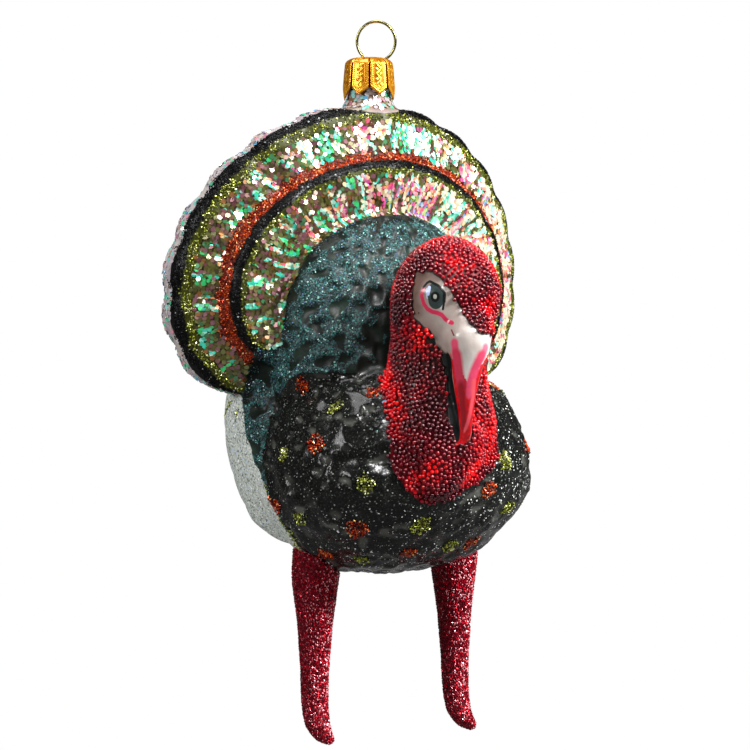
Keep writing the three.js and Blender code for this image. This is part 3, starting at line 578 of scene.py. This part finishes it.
# The eye, in this order: a pink line round it, its white, the iris with a glint, the pupil with a light in
# it, the lid, a line on the cheek and a speck.
colour = painted(tree, colour, chart, faced, [
    ([(11.1, -58.3), (11.4, -59.6), (10.9, -61.3), (10.0, -62.4), (8.8, -63.0), (7.6, -63.2), (6.6, -63.6),
      (5.5, -64.7), (4.5, -65.2)], 0.48, 0.14, 206, 48, 84),
    ([(9.9, -58.4), (9.7, -59.8)], 0.5, 0.2, 186, 194, 216),
    ([(6.9, -61.3), (6.5, -62.0)], 0.5, 0.2, 196, 196, 196),
    ([(8.3, -58.6), (7.95, -60.7)], 1.72, 0.14, 48, 62, 60),
    ([(7.2, -58.9), (7.3, -60.0)], 1.2, 0.3, 46, 58, 56),
    ([(9.55, -57.9), (9.75, -59.2)], 0.4, 0.12, 190, 206, 246),
    ([(8.05, -59.7), (8.06, -59.9)], 1.0, 0.1, 16, 16, 18),
    ([(8.05, -59.65), (8.05, -59.85)], 0.4, 0.12, 184, 186, 174),
    ([(11.1, -57.9), (10.3, -56.95), (9.6, -56.6), (8.7, -56.9), (7.3, -57.5), (5.9, -59.0), (6.05, -60.8),
      (6.3, -62.4)], 0.27, 0.12, 20, 22, 22),
    ([(5.95, -59.2), (6.05, -60.8)], 0.36, 0.12, 20, 22, 22),
    ([(4.6, -66.7), (4.3, -67.8)], 0.12, 0.1, 120, 40, 44),
    ([(12.26, -63.3), (12.3, -63.35)], 0.16, 0.1, 50, 24, 26)])

# The beak: red from a slanting line downwards, with pink and crimson strokes, a pale stroke down its lower
# right as a painted highlight, and dark down both sides as painted shade of its underside.
beak_across = kept(tree, "beak_across")
beak_chart = flat_place(tree, beak_across, height)
streak = noise_at(tree, beak_chart, 0.9, 2.0)
beak_red = shades(tree, streak, [(0.3, 150, 6, 24), (0.5, 200, 6, 18), (0.7, 226, 14, 18)])
aslant = sums(tree, "ABSOLUTE", sums(tree, "ADD", beak_across, 1.6))
red_from = scaled(tree, aslant, 1.1, sums(tree, "SUBTRACT", -77.6, height))
reddened = ragged(tree, swayed(tree, streak, 3.0, red_from), 0.3, 900.0)
faced_bill = sums(tree, "MULTIPLY", faced, graded(tree, kept(tree, "on_beak"), -0.9, -0.6))
in_front = graded(tree, beak_across, -7.4, -6.8)
reddened = sums(tree, "MULTIPLY", sums(tree, "MULTIPLY", reddened, faced_bill), in_front)
colour = mix(tree, reddened, colour, beak_red)
colour = painted(tree, colour, beak_chart, faced_bill, [
    ([(-5.3, -69.4), (-5.0, -72.5), (-4.5, -75)], 1.0, 0.5, 214, 74, 106),
    ([(-4.9, -72), (-4.3, -75.5), (-3.7, -78.5)], 1.5, 0.9, 196, 46, 76),
    ([(-3.6, -79), (-3.0, -82), (-1.6, -86.5)], 1.5, 1.2, 150, 8, 26),
    ([(1.7, -70.4), (1.2, -72.4)], 1.0, 0.7, 224, 112, 136),
    ([(0.9, -72), (0.0, -75), (-0.6, -77.5), (-0.5, -80)], 1.15, 0.7, 222, 70, 104),
    ([(0.1, -77.5), (0.8, -80.5), (0.7, -84), (0.2, -88)], 0.62, 0.5, 236, 84, 96),
    ([(-8.7, -73.5), (-9.3, -77), (-8.8, -81), (-8.0, -85), (-6.5, -89)], 1.9, 0.4, 20, 24, 24),
    ([(8.8, -71), (10.6, -75), (10.4, -80), (9.0, -86)], 1.7, 0.4, 20, 24, 24)])
rough = mix(tree, faced, rough, (0.3, 0.3, 0.3, 1))
rough = mix(tree, reddened, rough, (0.12, 0.12, 0.12, 1))
grain = step(tree, "ShaderNodeBump", {"Strength": 0.25, "Distance": 0.2 * mm, "Height": fine})
finish_with(tree, Base_Color=colour, Roughness=rough, Normal=grain.outputs["Normal"])

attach(glass_body, "bird")
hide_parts("glass_bird")

# The beads of head and neck. Round beads of clear red glass, poured on over wet glue, so that they lie
# close together all round, and leave the face bare.
bead_size = 0.94
bead_spacing = 0.8
head_foot = -78


def laid_chips(name, chip, spacing, sizes, lean, lift, seed):
    """A way of gluing many like chips onto a surface, more closely where its value "glue" says so."""
    group = bpy.data.node_groups.new(name, "GeometryNodeTree")
    for way in ("INPUT", "OUTPUT"):
        group.interface.new_socket("Geometry", in_out=way, socket_type="NodeSocketGeometry")
    share = step(group, "GeometryNodeInputNamedAttribute", {"Name": "glue"}, data_type="FLOAT")
    dots = step(group, "GeometryNodeDistributePointsOnFaces", {
        "Mesh": group.nodes.new("NodeGroupInput").outputs[0], "Distance Min": spacing * mm,
        "Density Max": 7 / (spacing * mm) ** 2, "Density Factor": result(share, "Attribute"), "Seed": seed},
        distribute_method="POISSON")
    up = vectors(group, "SCALE", result(dots, "Normal"), times=lift * mm)
    raised = step(group, "GeometryNodeSetPosition", {"Geometry": result(dots, "Points"), "Offset": up})
    spin = step(group, "FunctionNodeRandomValue", {
        "Min": (-lean, -lean, 0), "Max": (lean, lean, 2 * pi), "Seed": seed}, data_type="FLOAT_VECTOR")
    turned = step(group, "FunctionNodeRotateRotation", {
        "Rotation": result(dots, "Rotation"), "Rotate By": result(spin)}, rotation_space="LOCAL")
    size = step(group, "FunctionNodeRandomValue", {"Min": sizes[0], "Max": sizes[1], "Seed": seed + 1},
                data_type="FLOAT")
    template = step(group, "GeometryNodeObjectInfo", {"Object": chip})
    laid = step(group, "GeometryNodeInstanceOnPoints", {
        "Points": raised.outputs[0], "Instance": template.outputs["Geometry"],
        "Rotation": turned.outputs[0], "Scale": result(size)})
    for number, layer in enumerate(("chance", "other_chance")):
        luck = step(group, "FunctionNodeRandomValue", {"Seed": seed + 2 + number}, data_type="FLOAT")
        laid = step(group, "GeometryNodeStoreNamedAttribute", {
            "Geometry": laid.outputs[0], "Name": layer, "Value": result(luck)}, data_type="FLOAT",
            domain="INSTANCE")
    whole = step(group, "GeometryNodeRealizeInstances", {"Geometry": laid.outputs[0]})
    group.links.new(whole.outputs[0], group.nodes.new("NodeGroupOutput").inputs[0])
    return group


def glue_on(name, surface, values, chip, finish, spacing, sizes, lean, lift, seed):
    """A new piece of chips glued onto a piece, as closely as its values, from 0 to 1, say."""
    keep_value(surface, "glue", values)
    piece = surface.copy()
    piece.data = surface.data.copy()
    piece.name = piece.data.name = name
    bpy.context.scene.collection.objects.link(piece)
    for key in list(piece.keys()):
        del piece[key]
    glued = piece.modifiers.new("glue", "NODES")
    glued.node_group = laid_chips(name + "_glue", chip, spacing, sizes, lean, lift, seed)
    apply_modifiers(piece)
    for layer in [a.name for a in piece.data.attributes if not (a.is_required or a.name.startswith("."))]:
        if layer not in ("chance", "other_chance", "outward", "sharp_face"):
            piece.data.attributes.remove(piece.data.attributes[layer])
    piece.data.materials.clear()
    piece.data.materials.append(finish)
    piece.data.polygons.foreach_set("material_index", [0] * len(piece.data.polygons))
    return piece


bpy.ops.mesh.primitive_uv_sphere_add(segments=9, ring_count=6, radius=bead_size / 2 * mm)
bead = bpy.context.object
shade_smooth(bead)
bead_corners, _ = corners_of(bead)
keep_value(bead, "outward", bead_corners[:, 2] / bead_size + 0.5)

bead_glass, tree = new_finish(
    "bead_glass", Roughness=0.07, IOR=1.55, Specular_IOR_Level=0.7, Specular_Tint=(1, 0.6, 0.62, 1),
    Emission_Strength=0.05)
# Painted shade: each bead is painted darker towards its underside, where it sits in the glue.
bead_underside_shade = shades(tree, kept(tree, "outward"), [(0.0, 90, 90, 90), (0.4, 176, 176, 176), (0.62, 255, 255, 255)])
spot = here(tree)
spot_x, _, spot_z = parts_of(tree, spot)
# Painted light: random patches of maroon and scarlet, painted brighter towards the right side and lower down.
# The same colour is given again as a faint painted glow, as of light passing through the red glass.
bead_tone_and_light = swayed(tree, kept(tree, "chance"), 0.2, noise_at(tree, spot, 110.0, 1.0))
bead_tone_and_light = scaled(tree, spot_x, 7.0, bead_tone_and_light)
bead_tone_and_light = scaled(tree, spot_z, -1.4, sums(tree, "SUBTRACT", bead_tone_and_light, 0.1))
bead_colour_and_light = shades(tree, bead_tone_and_light, [
    (0.3, 56, 3, 14), (0.38, 90, 3, 18), (0.5, 134, 3, 20), (0.6, 190, 4, 16), (0.7, 244, 5, 8)])
colour = step(tree, "ShaderNodeMix", {0: 1.0, 6: bead_underside_shade, 7: bead_colour_and_light}, data_type="RGBA", blend_type="MULTIPLY")
finish_with(tree, Base_Color=result(colour, "Result"), Emission_Color=bead_colour_and_light)

coated = ease(-0.02, 0.06, on_beads)
upper = ease(head_foot - 0.01, head_foot, z)
for name, share, seed in (("head_beads", coated * upper, 11), ("neck_beads", coated * (1 - upper), 12)):
    beads = glue_on(name, glass_body, share, bead, bead_glass, bead_spacing, (0.92, 1.04), 0.25, 0.36, seed)
    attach(beads, "bird")
    if name == "head_beads":
        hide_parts("head_bead_coat")

# The flakes on the tail. Six-sided chips of a clear film, cut large and sprinkled over the two fields of the
# tail, so that the painted glass shows between them. Their colours hold painted reflections: in streaks that
# run out from the middle, and most towards the right side, they are painted mint, pink, orange or white, as
# if they caught the light, and elsewhere they keep clear tints that let the paint through.
flake_size = 1.22
flake_sheet = 0.09
bpy.ops.mesh.primitive_cylinder_add(vertices=6, radius=flake_size / 2 * mm, depth=flake_sheet * mm)
flake = bpy.context.object

flake_film, tree = new_finish("flake_film", Roughness=0.25, Metallic=0.3, Coat_Weight=0.5)
spot_x, _, spot_z = parts_of(tree, here(tree))
rise_here = sums(tree, "SUBTRACT", spot_z, fan_middle * mm)
turn_here = sums(tree, "ARCTAN2", rise_here, spot_x)
out_here = sums(tree, "MULTIPLY", vectors(tree, "LENGTH", flat_place(tree, spot_x, rise_here)), 9.0)
ray = flat_place(tree, turn_here, out_here)
reflection_drift = swayed(tree, noise_at(tree, ray, 8.0, 1.0), 1.5)
reflection_drift = scaled(tree, sums(tree, "MINIMUM", spot_x, 0.0), 5.0, reflection_drift)
reflection_drift = sums(tree, "MAXIMUM", reflection_drift, scaled(tree, spot_x, 7.0, 0.28))
reflection_drift = swayed(tree, kept(tree, "chance"), 0.3, reflection_drift)
film = shades(tree, reflection_drift, [
    (0.1, 60, 210, 120), (0.24, 62, 216, 184), (0.37, 176, 248, 228), (0.45, 255, 248, 222),
    (0.52, 250, 224, 164), (0.56, 248, 160, 96), (0.61, 242, 110, 140), (0.68, 224, 80, 160),
    (0.76, 90, 170, 230), (0.83, 190, 224, 110)], hard=True)
clear = shades(tree, kept(tree, "chance"), [
    (0, 92, 86, 40), (0.14, 122, 88, 76), (0.28, 84, 84, 34), (0.44, 116, 68, 74),
    (0.54, 110, 112, 58), (0.68, 78, 68, 42), (0.76, 132, 86, 96), (0.85, 136, 88, 44),
    (0.92, 70, 128, 82)], hard=True)
painted_flare = swayed(tree, kept(tree, "other_chance"), 0.36, swayed(tree, noise_at(tree, ray, 17.0, 0.0), 1.5))
painted_flare = scaled(tree, spot_x, 6.6, sums(tree, "ADD", painted_flare, 0.025))
film = mix(tree, graded(tree, painted_flare, 0.46, 0.5), clear, film)
film = mix(tree, graded(tree, painted_flare, 0.66, 1.0, 0.0, 0.8), film, paint(255, 244, 214))
finish_with(tree, Base_Color=film)

fan_front_share = ease(0.0, 0.3, on_fan_front) * ease(-0.05, 0.1, insides[0])
ragged_rows = fan_place + 0.3 * mottle(places, 1.6, 3)


def in_row(first, last):
    """1 between two of the tail's edges, counted from the rim, and 0 outside them."""
    after = ease(first - 0.1, first + 0.1, ragged_rows) if first > 0 else 1
    return fan_front_share * after * (1 - ease(last - 0.1, last + 0.1, ragged_rows))


for name, first, last, part, seed in (("outer_flakes", 1.9, 3.05, "fan_outer_flake_coat", 21),
                                      ("inner_flakes", 6.9, 9.0, "fan_inner_flake_coat", 22)):
    share = in_row(first, last) * (1 - ease(-0.2, 0.2, on_rim))
    flakes = glue_on(name, glass_body, share, flake, flake_film, 0.74, (0.85, 1.12), 0.3, 0.2, seed)
    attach(flakes, "bird")
    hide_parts(part)

# The stray flakes. Chips of the same film that fell beside the two fields: many along the rim and round the
# glass neck, fewer on the back of the tail, and one or two on the breast, all pearly and lying flat.
on_neck = np.minimum(z + 19.5, -10.3 - z)
share = 0.85 * ease(-0.1, 0.1, on_rim) * ease(-0.45, -0.1, mottle(places, 5, 24))
share = share + 0.95 * ease(0, 0.5, on_neck)
on_back = ease(0.3, 1.0, on_fan_back) * (1 - ease(-0.2, 0.1, on_rim))
share = np.maximum(share, on_back * (0.12 + 0.5 * ease(-0.2, 0.4, mottle(places, 7, 25))))
for dropped in ((-13.9, -30.3, -83), (-19.4, -22.5, -81)):
    share = np.maximum(share, 1 - ease(0.3, 0.8, np.linalg.norm(places - dropped, axis=1)))
rim_film, tree = new_finish("rim_film", Roughness=0.25, Metallic=0.3, Coat_Weight=0.5)
pearly = shades(tree, kept(tree, "chance"), [
    (0, 196, 186, 192), (0.2, 150, 214, 206), (0.34, 206, 198, 196), (0.5, 90, 206, 160),
    (0.58, 214, 190, 176), (0.72, 110, 176, 214), (0.8, 222, 214, 214), (0.93, 224, 150, 170)],
    hard=True)
finish_with(tree, Base_Color=pearly)
stray_flakes = glue_on("stray_flakes", glass_body, share, flake, rim_film, 0.85, (0.8, 1.05), 0.3, 0.12, 23)
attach(stray_flakes, "bird")

# The coarse glitter of the tail's bands: crushed grains glued in black, lime and orange lines that follow
# its feathers. One grain, a flattened double pyramid, is laid over and over.
grain_size = 0.5
bpy.ops.mesh.primitive_uv_sphere_add(segments=4, ring_count=2, radius=grain_size / 2 * mm, scale=(1, 1, 0.5))
grain_chip = bpy.context.object
bpy.ops.object.transform_apply(location=False, rotation=False, scale=True)

grain_colours = {
    "lime_glitter": [
        (0, 62, 64, 20), (0.3, 104, 108, 30), (0.56, 150, 158, 44), (0.76, 196, 204, 84),
        (0.91, 246, 248, 180)],
    "orange_glitter": [
        (0, 96, 14, 4), (0.25, 150, 36, 8), (0.5, 190, 56, 10), (0.75, 226, 96, 22), (0.93, 255, 190, 120)],
    "black_glitter": [(0, 4, 5, 4), (0.5, 8, 9, 8), (0.9, 18, 19, 18), (0.985, 170, 176, 176)],
    "teal_glitter": [
        (0, 16, 38, 36), (0.25, 38, 70, 70), (0.48, 84, 98, 104), (0.66, 42, 112, 106), (0.8, 78, 106, 150),
        (0.9, 92, 166, 156), (0.97, 190, 230, 216)],
    "red_glitter": [
        (0, 84, 3, 15), (0.3, 126, 5, 25), (0.55, 196, 10, 34), (0.78, 246, 50, 66), (0.9, 255, 176, 184)],
}
glitters = {}
for name, colours in grain_colours.items():
    glitters[name], tree = new_finish(
        name, Roughness=0.3, Metallic=0.0 if name == "black_glitter" else 0.35,
        Coat_Weight=0.25 if name in ("lime_glitter", "orange_glitter") else 0.0,
        Specular_IOR_Level=0.12 if name in ("black_glitter", "red_glitter") else 0.3)
    luck = kept(tree, "chance")
    # Painted light: red grains facing right are painted paler, as if lit, and those facing left darker.
    if name == "red_glitter":
        facing_x = parts_of(tree, step(tree, "ShaderNodeNewGeometry").outputs["Normal"])[0]
        luck = sums(tree, "ADD", luck, graded(tree, facing_x, -0.62, -0.1, -0.5, 0.26))
    finish_with(tree, Base_Color=shades(tree, luck, colours, hard=True))

bands = [
    ("outer_black_grains", 0.0, 1.0, "fan_outer_black_band", "black_glitter", 31),
    ("outer_lime_grains", 1.0, 1.95, "fan_outer_lime_band", "lime_glitter", 32),
    ("orange_grains", 3.0, 4.6, "fan_orange_band", "orange_glitter", 33),
    ("inner_black_grains", 4.65, 6.0, "fan_inner_black_band", "black_glitter", 34),
    ("inner_lime_grains", 6.0, 6.95, "fan_inner_lime_band", "lime_glitter", 35),
]
for name, first, last, part, finish, seed in bands:
    share = in_row(first, last)
    if finish == "lime_glitter":
        share = share * (0.35 + 0.65 * ease(-0.25, 0.1, mottle(places, 3, seed)))
    lean, lift = (0.5, 0.08) if finish == "black_glitter" else (1.2, 0.12)
    grains = glue_on(name, glass_body, share, grain_chip, glitters[finish], 0.36, (0.8, 1.25), lean, lift,
                     seed)
    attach(grains, "bird")
    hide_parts(part)

# The teal glitter of the back. Fine grains sprinkled over the glue on the raised ends of the feathers and
# between them, so that the dark glass is left bare in the hollows.
share = teal_share * (1 - ease(-0.2, 0.4, on_beads))
back_grains = glue_on("back_grains", glass_body, share, grain_chip, glitters["teal_glitter"], 0.44,
                      (0.6, 0.95), 1.2, 0.05, 41)
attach(back_grains, "bird")

# The edging. Lime grains, and orange ones in the middle of the line, glued along the seam where wing and
# breast meet, and two short lime strokes drawn on the wing.
edging_gap = np.hypot(y - black_edge - 0.4, 0.3 * mottle(places, 1.5, 5))
edging = (1 - ease(0.45, 0.7, edging_gap)) * (np.abs(x) > 20)
edging = edging * ease(-120, -119, z) * (1 - ease(-102.5, -101.5, z))
middle_edging = ease(-109.5, -108.5, z) * (1 - ease(-105.5, -104.5, z))
stroke_gap = np.minimum(
    np.hypot(y - np.interp(z, [-88.6, -84.9], [14.1, 9.2]), np.maximum(np.abs(z + 86.7) - 2, 0)),
    np.hypot(y - np.interp(z, [-88.5, -85.5], [6.4, 5.2]), np.maximum(np.abs(z + 87) - 1.3, 0)))
strokes = (1 - ease(0.35, 0.6, stroke_gap)) * (np.abs(x) > 24)
lime_edging = np.maximum(edging * (1 - middle_edging), strokes)
for name, share, finish, seed in (("lime_edging", lime_edging, "lime_glitter", 42),
                                  ("orange_edging", edging * middle_edging, "orange_glitter", 43)):
    grains = glue_on(name, glass_body, share, grain_chip, glitters[finish], 0.36, (0.8, 1.2), 1.2, 0.1, seed)
    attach(grains, "bird")

# The dots on the breast. Each is a dab of glue with a spoonful of coarse orange or lime grains on it, where
# its solid is, moved along with the drawn-in underside.
for colour_name in ("orange", "lime"):
    dot_names = sorted(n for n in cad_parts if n.startswith(colour_name + "_dot"))
    share = np.zeros(len(places))
    for dot_name in dot_names:
        low, high = (Vector(corner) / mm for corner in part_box(dot_name))
        middle = settle(np.array([(low + high) / 2]))[0]
        reach = (high - low).length
        gap = np.linalg.norm(places - middle, axis=1)
        share = np.maximum(share, 1 - ease(0.40 * reach, 0.46 * reach, gap))
    grains = glue_on(colour_name + "_dots", glass_body, share, grain_chip, glitters[colour_name + "_glitter"],
                     0.42, (1.0, 1.5), 1.2, 0.2, 51 + len(colour_name))
    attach(grains, "bird")
    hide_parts(*dot_names)

# The legs. Solid glass rods, drawn out to a foot with short toes, glued under the belly, and rolled in red
# glitter. Their roots reach up into the drawn-in underside.
root_lift = 3.2
for leg_name, seed in (("left_leg", 61), ("right_leg", 62)):
    leg = copy_of_node(leg_name, leg_name + "_glass")
    soften_solid(leg, 0.4, 10)
    leg_corners, _ = corners_of(leg)
    rooted = ease(-125, -120.5, leg_corners[:, 2])
    leg_corners[:, 2] += root_lift * rooted
    leg_corners[:, 0] -= 0.4 * np.sign(leg_corners[:, 0]) * rooted
    leg_corners[:, 1] -= 0.8 * rooted
    move_corners(leg, leg_corners)
    leg_paint, tree = new_finish(leg_name + "_paint", Roughness=0.4, Specular_IOR_Level=0.1)
    dust = effect(tree, fine_glitter, Grains_per_metre=2600.0, Tilt=0.8)
    red_dust = shades(tree, dust["Chance"], [
        (0, 50, 2, 11), (0.3, 82, 4, 17), (0.6, 120, 5, 24), (0.85, 166, 8, 32)], hard=True)
    finish_with(tree, Base_Color=red_dust, Normal=dust["Normal"])
    leg.data.materials.append(leg_paint)
    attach(leg, "bird")
    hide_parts(leg_name)
    share = np.ones(len(leg.data.vertices))
    grains = glue_on(leg_name + "_grains", leg, share, grain_chip, glitters["red_glitter"], 0.42, (0.9, 1.35),
                     0.6, 0.04, seed)
    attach(grains, "bird")

for chip in (bead, flake, grain_chip):
    bpy.data.objects.remove(chip)

# The cap. A disc of thin gold-lacquered metal, stamped with a border and scrolls on each of its eight petals
# and bent down over the glass neck, with a hole on either side of its middle for the wire. A sheet is rolled
# into the skirt and the crown, embossed, and given its thickness.
cap_top = -7.482
cap_petals = 8
cap_turned = radians(16.5)
cap_radius = 5.3
cap_crown = 1.3
cap_skirt = 9.1
cap_notch = 6.7
cap_sheet = 0.16
crown_part = 0.24
hole_turn = radians(-45)
hole_radius = 0.62
hole_places = [Vector((a * cos(hole_turn), a * sin(hole_turn))) for a in (-1.75, 3.7)]

bpy.ops.mesh.primitive_grid_add(x_subdivisions=320, y_subdivisions=96, size=2 * mm)
cap = bpy.context.object
cap.name = cap.data.name = "pressed_cap"
flat, _ = corners_of(cap)
turn = (flat[:, 0] + 1) * pi + cap_turned
down = (1 - flat[:, 1]) / 2
petal = np.mod((turn - cap_turned) * cap_petals / (2 * pi), 1) * 2 - 1
petal_half = pi * cap_radius / cap_petals
across = petal * petal_half
to_seam = 1 - np.abs(petal)
sideways_turn = np.cos(2 * (turn - radians(-30)))
foot = cap_skirt + 0.75 * sideways_turn
notch = cap_notch - 0.15 * sideways_turn
rim_depth = notch + (foot - notch) * to_seam
inner = np.clip(down / crown_part, 0, 1)
radius = cap_radius * np.interp(inner, [0, 0.5, 0.76, 0.92, 1], [0.02, 0.5, 0.76, 0.93, 1])
depth = cap_crown * np.interp(inner, [0, 0.5, 0.76, 0.92, 1], [0, 0.05, 0.26, 0.62, 1.0])
skirt = np.clip((down - crown_part) / (1 - crown_part), 0, 1)
depth = depth + (rim_depth - cap_crown) * skirt
radius = radius + 0.55 * skirt**0.7 + 0.15 * to_seam * skirt
edge_gap = np.minimum(to_seam * petal_half, (rim_depth - depth) * 0.62)
edge_gap = np.where(skirt > 0, edge_gap, to_seam * radius * pi / cap_petals)


def raised_line(gap, half_width):
    return np.exp(-((gap / half_width) ** 2))


# What is stamped on a petal, in millimetres outwards: two lines along its edge with a row of dots between
# them, a winding stem with leaves to either side, and a crease where it meets the next petal.
stamped = 0.10 * raised_line(edge_gap - 0.34, 0.1)
stamped += 0.13 * raised_line(edge_gap - 0.68, 0.13) * (0.5 + 0.5 * np.cos(2 * pi * (depth + across) / 0.46))
stamped += 0.06 * raised_line(edge_gap - 0.98, 0.08)
stem = 0.4 * np.sin(2 * pi * depth / 2.3)
middle_share = ease(1.0, 1.2, edge_gap) * ease(0.9, 1.1, depth)
stamped += 0.13 * middle_share * raised_line(across - stem, 0.13)
leaf = np.round((depth - 0.58) / 1.15)
leaf_side = np.where(np.mod(leaf, 2) == 0, -0.45, 0.45)
leaf_gap = np.hypot(across - leaf_side, (depth - 0.58 - leaf * 1.15) * 0.8)
stamped += 0.15 * middle_share * raised_line(leaf_gap, 0.2)
stamped -= 0.42 * raised_line(to_seam * petal_half, 0.17) * ease(0.3, 1.3, depth)
leaning = np.interp(inner, [0, 0.6, 1], [0, 0.35, 1])
radius = radius + stamped * leaning
height = cap_top - depth + stamped * (1 - leaning)
move_corners(cap, np.column_stack([radius * np.cos(turn), radius * np.sin(turn), height]))
keep_value(cap, "stamped", stamped)
join_corners(cap, 0.006)
for face in cap.data.polygons:
    gap = min((face.center.xy / mm - hole).length for hole in hole_places)
    face.select = face.center.z / mm > cap_top - 1.6 and gap < hole_radius
bpy.ops.object.mode_set(mode="EDIT")
bpy.ops.mesh.delete(type="FACE")
bpy.ops.object.mode_set(mode="OBJECT")
sheet = cap.modifiers.new("sheet", "SOLIDIFY")
sheet.thickness = cap_sheet * mm
sheet.offset = -1
apply_modifiers(cap)
shade_smooth(cap)

cap_gold, tree = new_finish("cap_gold", Roughness=0.26, Metallic=0.6)
# Painted shade and light: the gold is painted darker in the stamped hollows and creases between petals, and
# paler on the raised lines, over random stains.
stain = noise_at(tree, here(tree), 700.0, 2.0)
hollow_shade_and_stain = scaled(tree, kept(tree, "stamped"), 3.0, sums(tree, "MULTIPLY", stain, 0.5))
gold = shades(tree, hollow_shade_and_stain, [
    (0.0, 90, 38, 4), (0.16, 160, 84, 8), (0.3, 216, 136, 16), (0.48, 242, 172, 36), (0.75, 255, 214, 90)])
finish_with(tree, Base_Color=gold)
cap.data.materials.append(cap_gold)
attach(cap, "cap")
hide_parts("hanger_cap")

# The wire. One length of hard round wire, bent into a ring over the cap; its two ends go down through the
# holes and press outwards on the inside of the glass neck.
wire_size = 0.64
ring_radius = 4.5
ring_middle = (1.7, -3.95)
leg_foot = cap_top - 9.5
path = [(-3.1, leg_foot), (-2.95, leg_foot + 3), (-2.7, leg_foot + 6), (-2.1, cap_top - 1.4),
        (-1.8, cap_top - 0.3)]
for share in np.linspace(0, 1, 30):
    swing = radians(-134) + share * radians(280)
    path.append((ring_middle[0] + ring_radius * sin(swing), ring_middle[1] + ring_radius * cos(swing)))
path += [(3.75, cap_top - 0.55), (3.45, cap_top - 1.7), (3.1, leg_foot + 6), (3.0, leg_foot + 3),
         (3.1, leg_foot)]
wire_curve = bpy.data.curves.new("bent_wire", "CURVE")
wire_curve.dimensions = "3D"
spline = wire_curve.splines.new("BEZIER")
spline.bezier_points.add(len(path) - 1)
for knot, (out, up) in zip(spline.bezier_points, path):
    knot.co = Vector((out * cos(hole_turn), out * sin(hole_turn), up)) * mm
    knot.handle_left_type = knot.handle_right_type = "AUTO"
wire_curve.bevel_depth = wire_size / 2 * mm
wire_curve.bevel_resolution = 4
wire_curve.resolution_u = 6
wire_curve.use_fill_caps = True
wire = bpy.data.objects.new("bent_wire", wire_curve)
bpy.context.scene.collection.objects.link(wire)
select_only(wire)
bpy.ops.object.convert(target="MESH")
wire = bpy.context.object
shade_smooth(wire)
wire_brass, tree = new_finish("wire_brass", Roughness=0.24, Metallic=1.0)
dull = noise_at(tree, here(tree), 500.0, 2.0)
brass = shades(tree, dull, [(0.3, 104, 98, 54), (0.6, 150, 142, 84), (0.8, 184, 176, 112)])
finish_with(tree, Base_Color=brass)
wire.data.materials.append(wire_brass)
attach(wire, "hanger")
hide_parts("hanger_wire")

# The studio: a broad soft light from the upper right, a weaker one from the left, one from above, and one
# that only gives glints. The floor under the toes is white to the camera and grey to the bauble, as is the
# world around it. The camera stands half a metre away.
view_turn = radians(-30)
view_lift = radians(5)
view_distance = 0.5
frame_width = 0.1725
sideways = Vector((cos(view_turn), sin(view_turn), 0))
towards = Vector((sin(view_turn) * cos(view_lift), -cos(view_turn) * cos(view_lift), sin(view_lift)))
upwards = towards.cross(sideways)
target = Vector((0, 0, -80.93 * mm)) + sideways * 1.38 * mm + upwards * 1.067 * mm

bpy.ops.object.camera_add(location=target + towards * view_distance)
camera = bpy.context.object
camera.rotation_euler = towards.to_track_quat("Z", "Y").to_euler()
camera.data.sensor_fit = "HORIZONTAL"
camera.data.angle = 2 * atan2(frame_width / 2, view_distance)
bpy.context.scene.camera = camera


def soft_light(name, right, up, ahead, size, power):
    """A square lamp, placed from the middle of the bauble in the camera's directions, in metres."""
    place = target + sideways * right + upwards * up + towards * ahead
    bpy.ops.object.light_add(type="AREA", location=place)
    light = bpy.context.object
    light.name = name
    light.rotation_euler = (place - target).to_track_quat("Z", "Y").to_euler()
    light.data.size = size
    light.data.energy = power


soft_light("key_light", 0.55, 0.38, 0.26, 0.22, 11.0)
soft_light("fill_light", -0.5, 0.2, 0.36, 0.16, 2.2)
soft_light("top_light", -0.1, 0.6, 0.05, 0.3, 3.2)
soft_light("glint_light", 0.14, 0.46, 0.5, 0.12, 8.0)
bpy.context.object.visible_diffuse = False

world = bpy.data.worlds.new("studio")
bpy.context.scene.world = world
world.use_nodes = True
tree = world.node_tree
ray_kind = step(tree, "ShaderNodeLightPath").outputs
level = scaled(tree, ray_kind["Is Glossy Ray"], -0.22, 0.28)
level = scaled(tree, ray_kind["Is Camera Ray"], 0.72, level)
tree.links.new(level, tree.nodes["Background"].inputs["Strength"])
tree.nodes["Background"].inputs["Color"].default_value = (1, 1, 1, 1)

bpy.ops.mesh.primitive_plane_add(size=3, location=(0, 0, cad_box[0][2] - 25 * mm))
floor = bpy.context.object
floor.name = "floor"
floor_paint, tree = new_finish("floor_paint", Roughness=0.9, Base_Color=(0.14, 0.14, 0.14, 1))
seen = step(tree, "ShaderNodeLightPath").outputs["Is Camera Ray"]
pale = step(tree, "ShaderNodeEmission", {"Color": (1, 1, 1, 1), "Strength": 1.0})
grey = tree.nodes["Principled BSDF"].outputs[0]
both = step(tree, "ShaderNodeMixShader", {0: seen, 1: grey, 2: pale.outputs[0]})
tree.links.new(both.outputs[0], tree.nodes["Material Output"].inputs["Surface"])
floor.data.materials.append(floor_paint)
bpy.context.scene.view_settings.view_transform = "Standard"
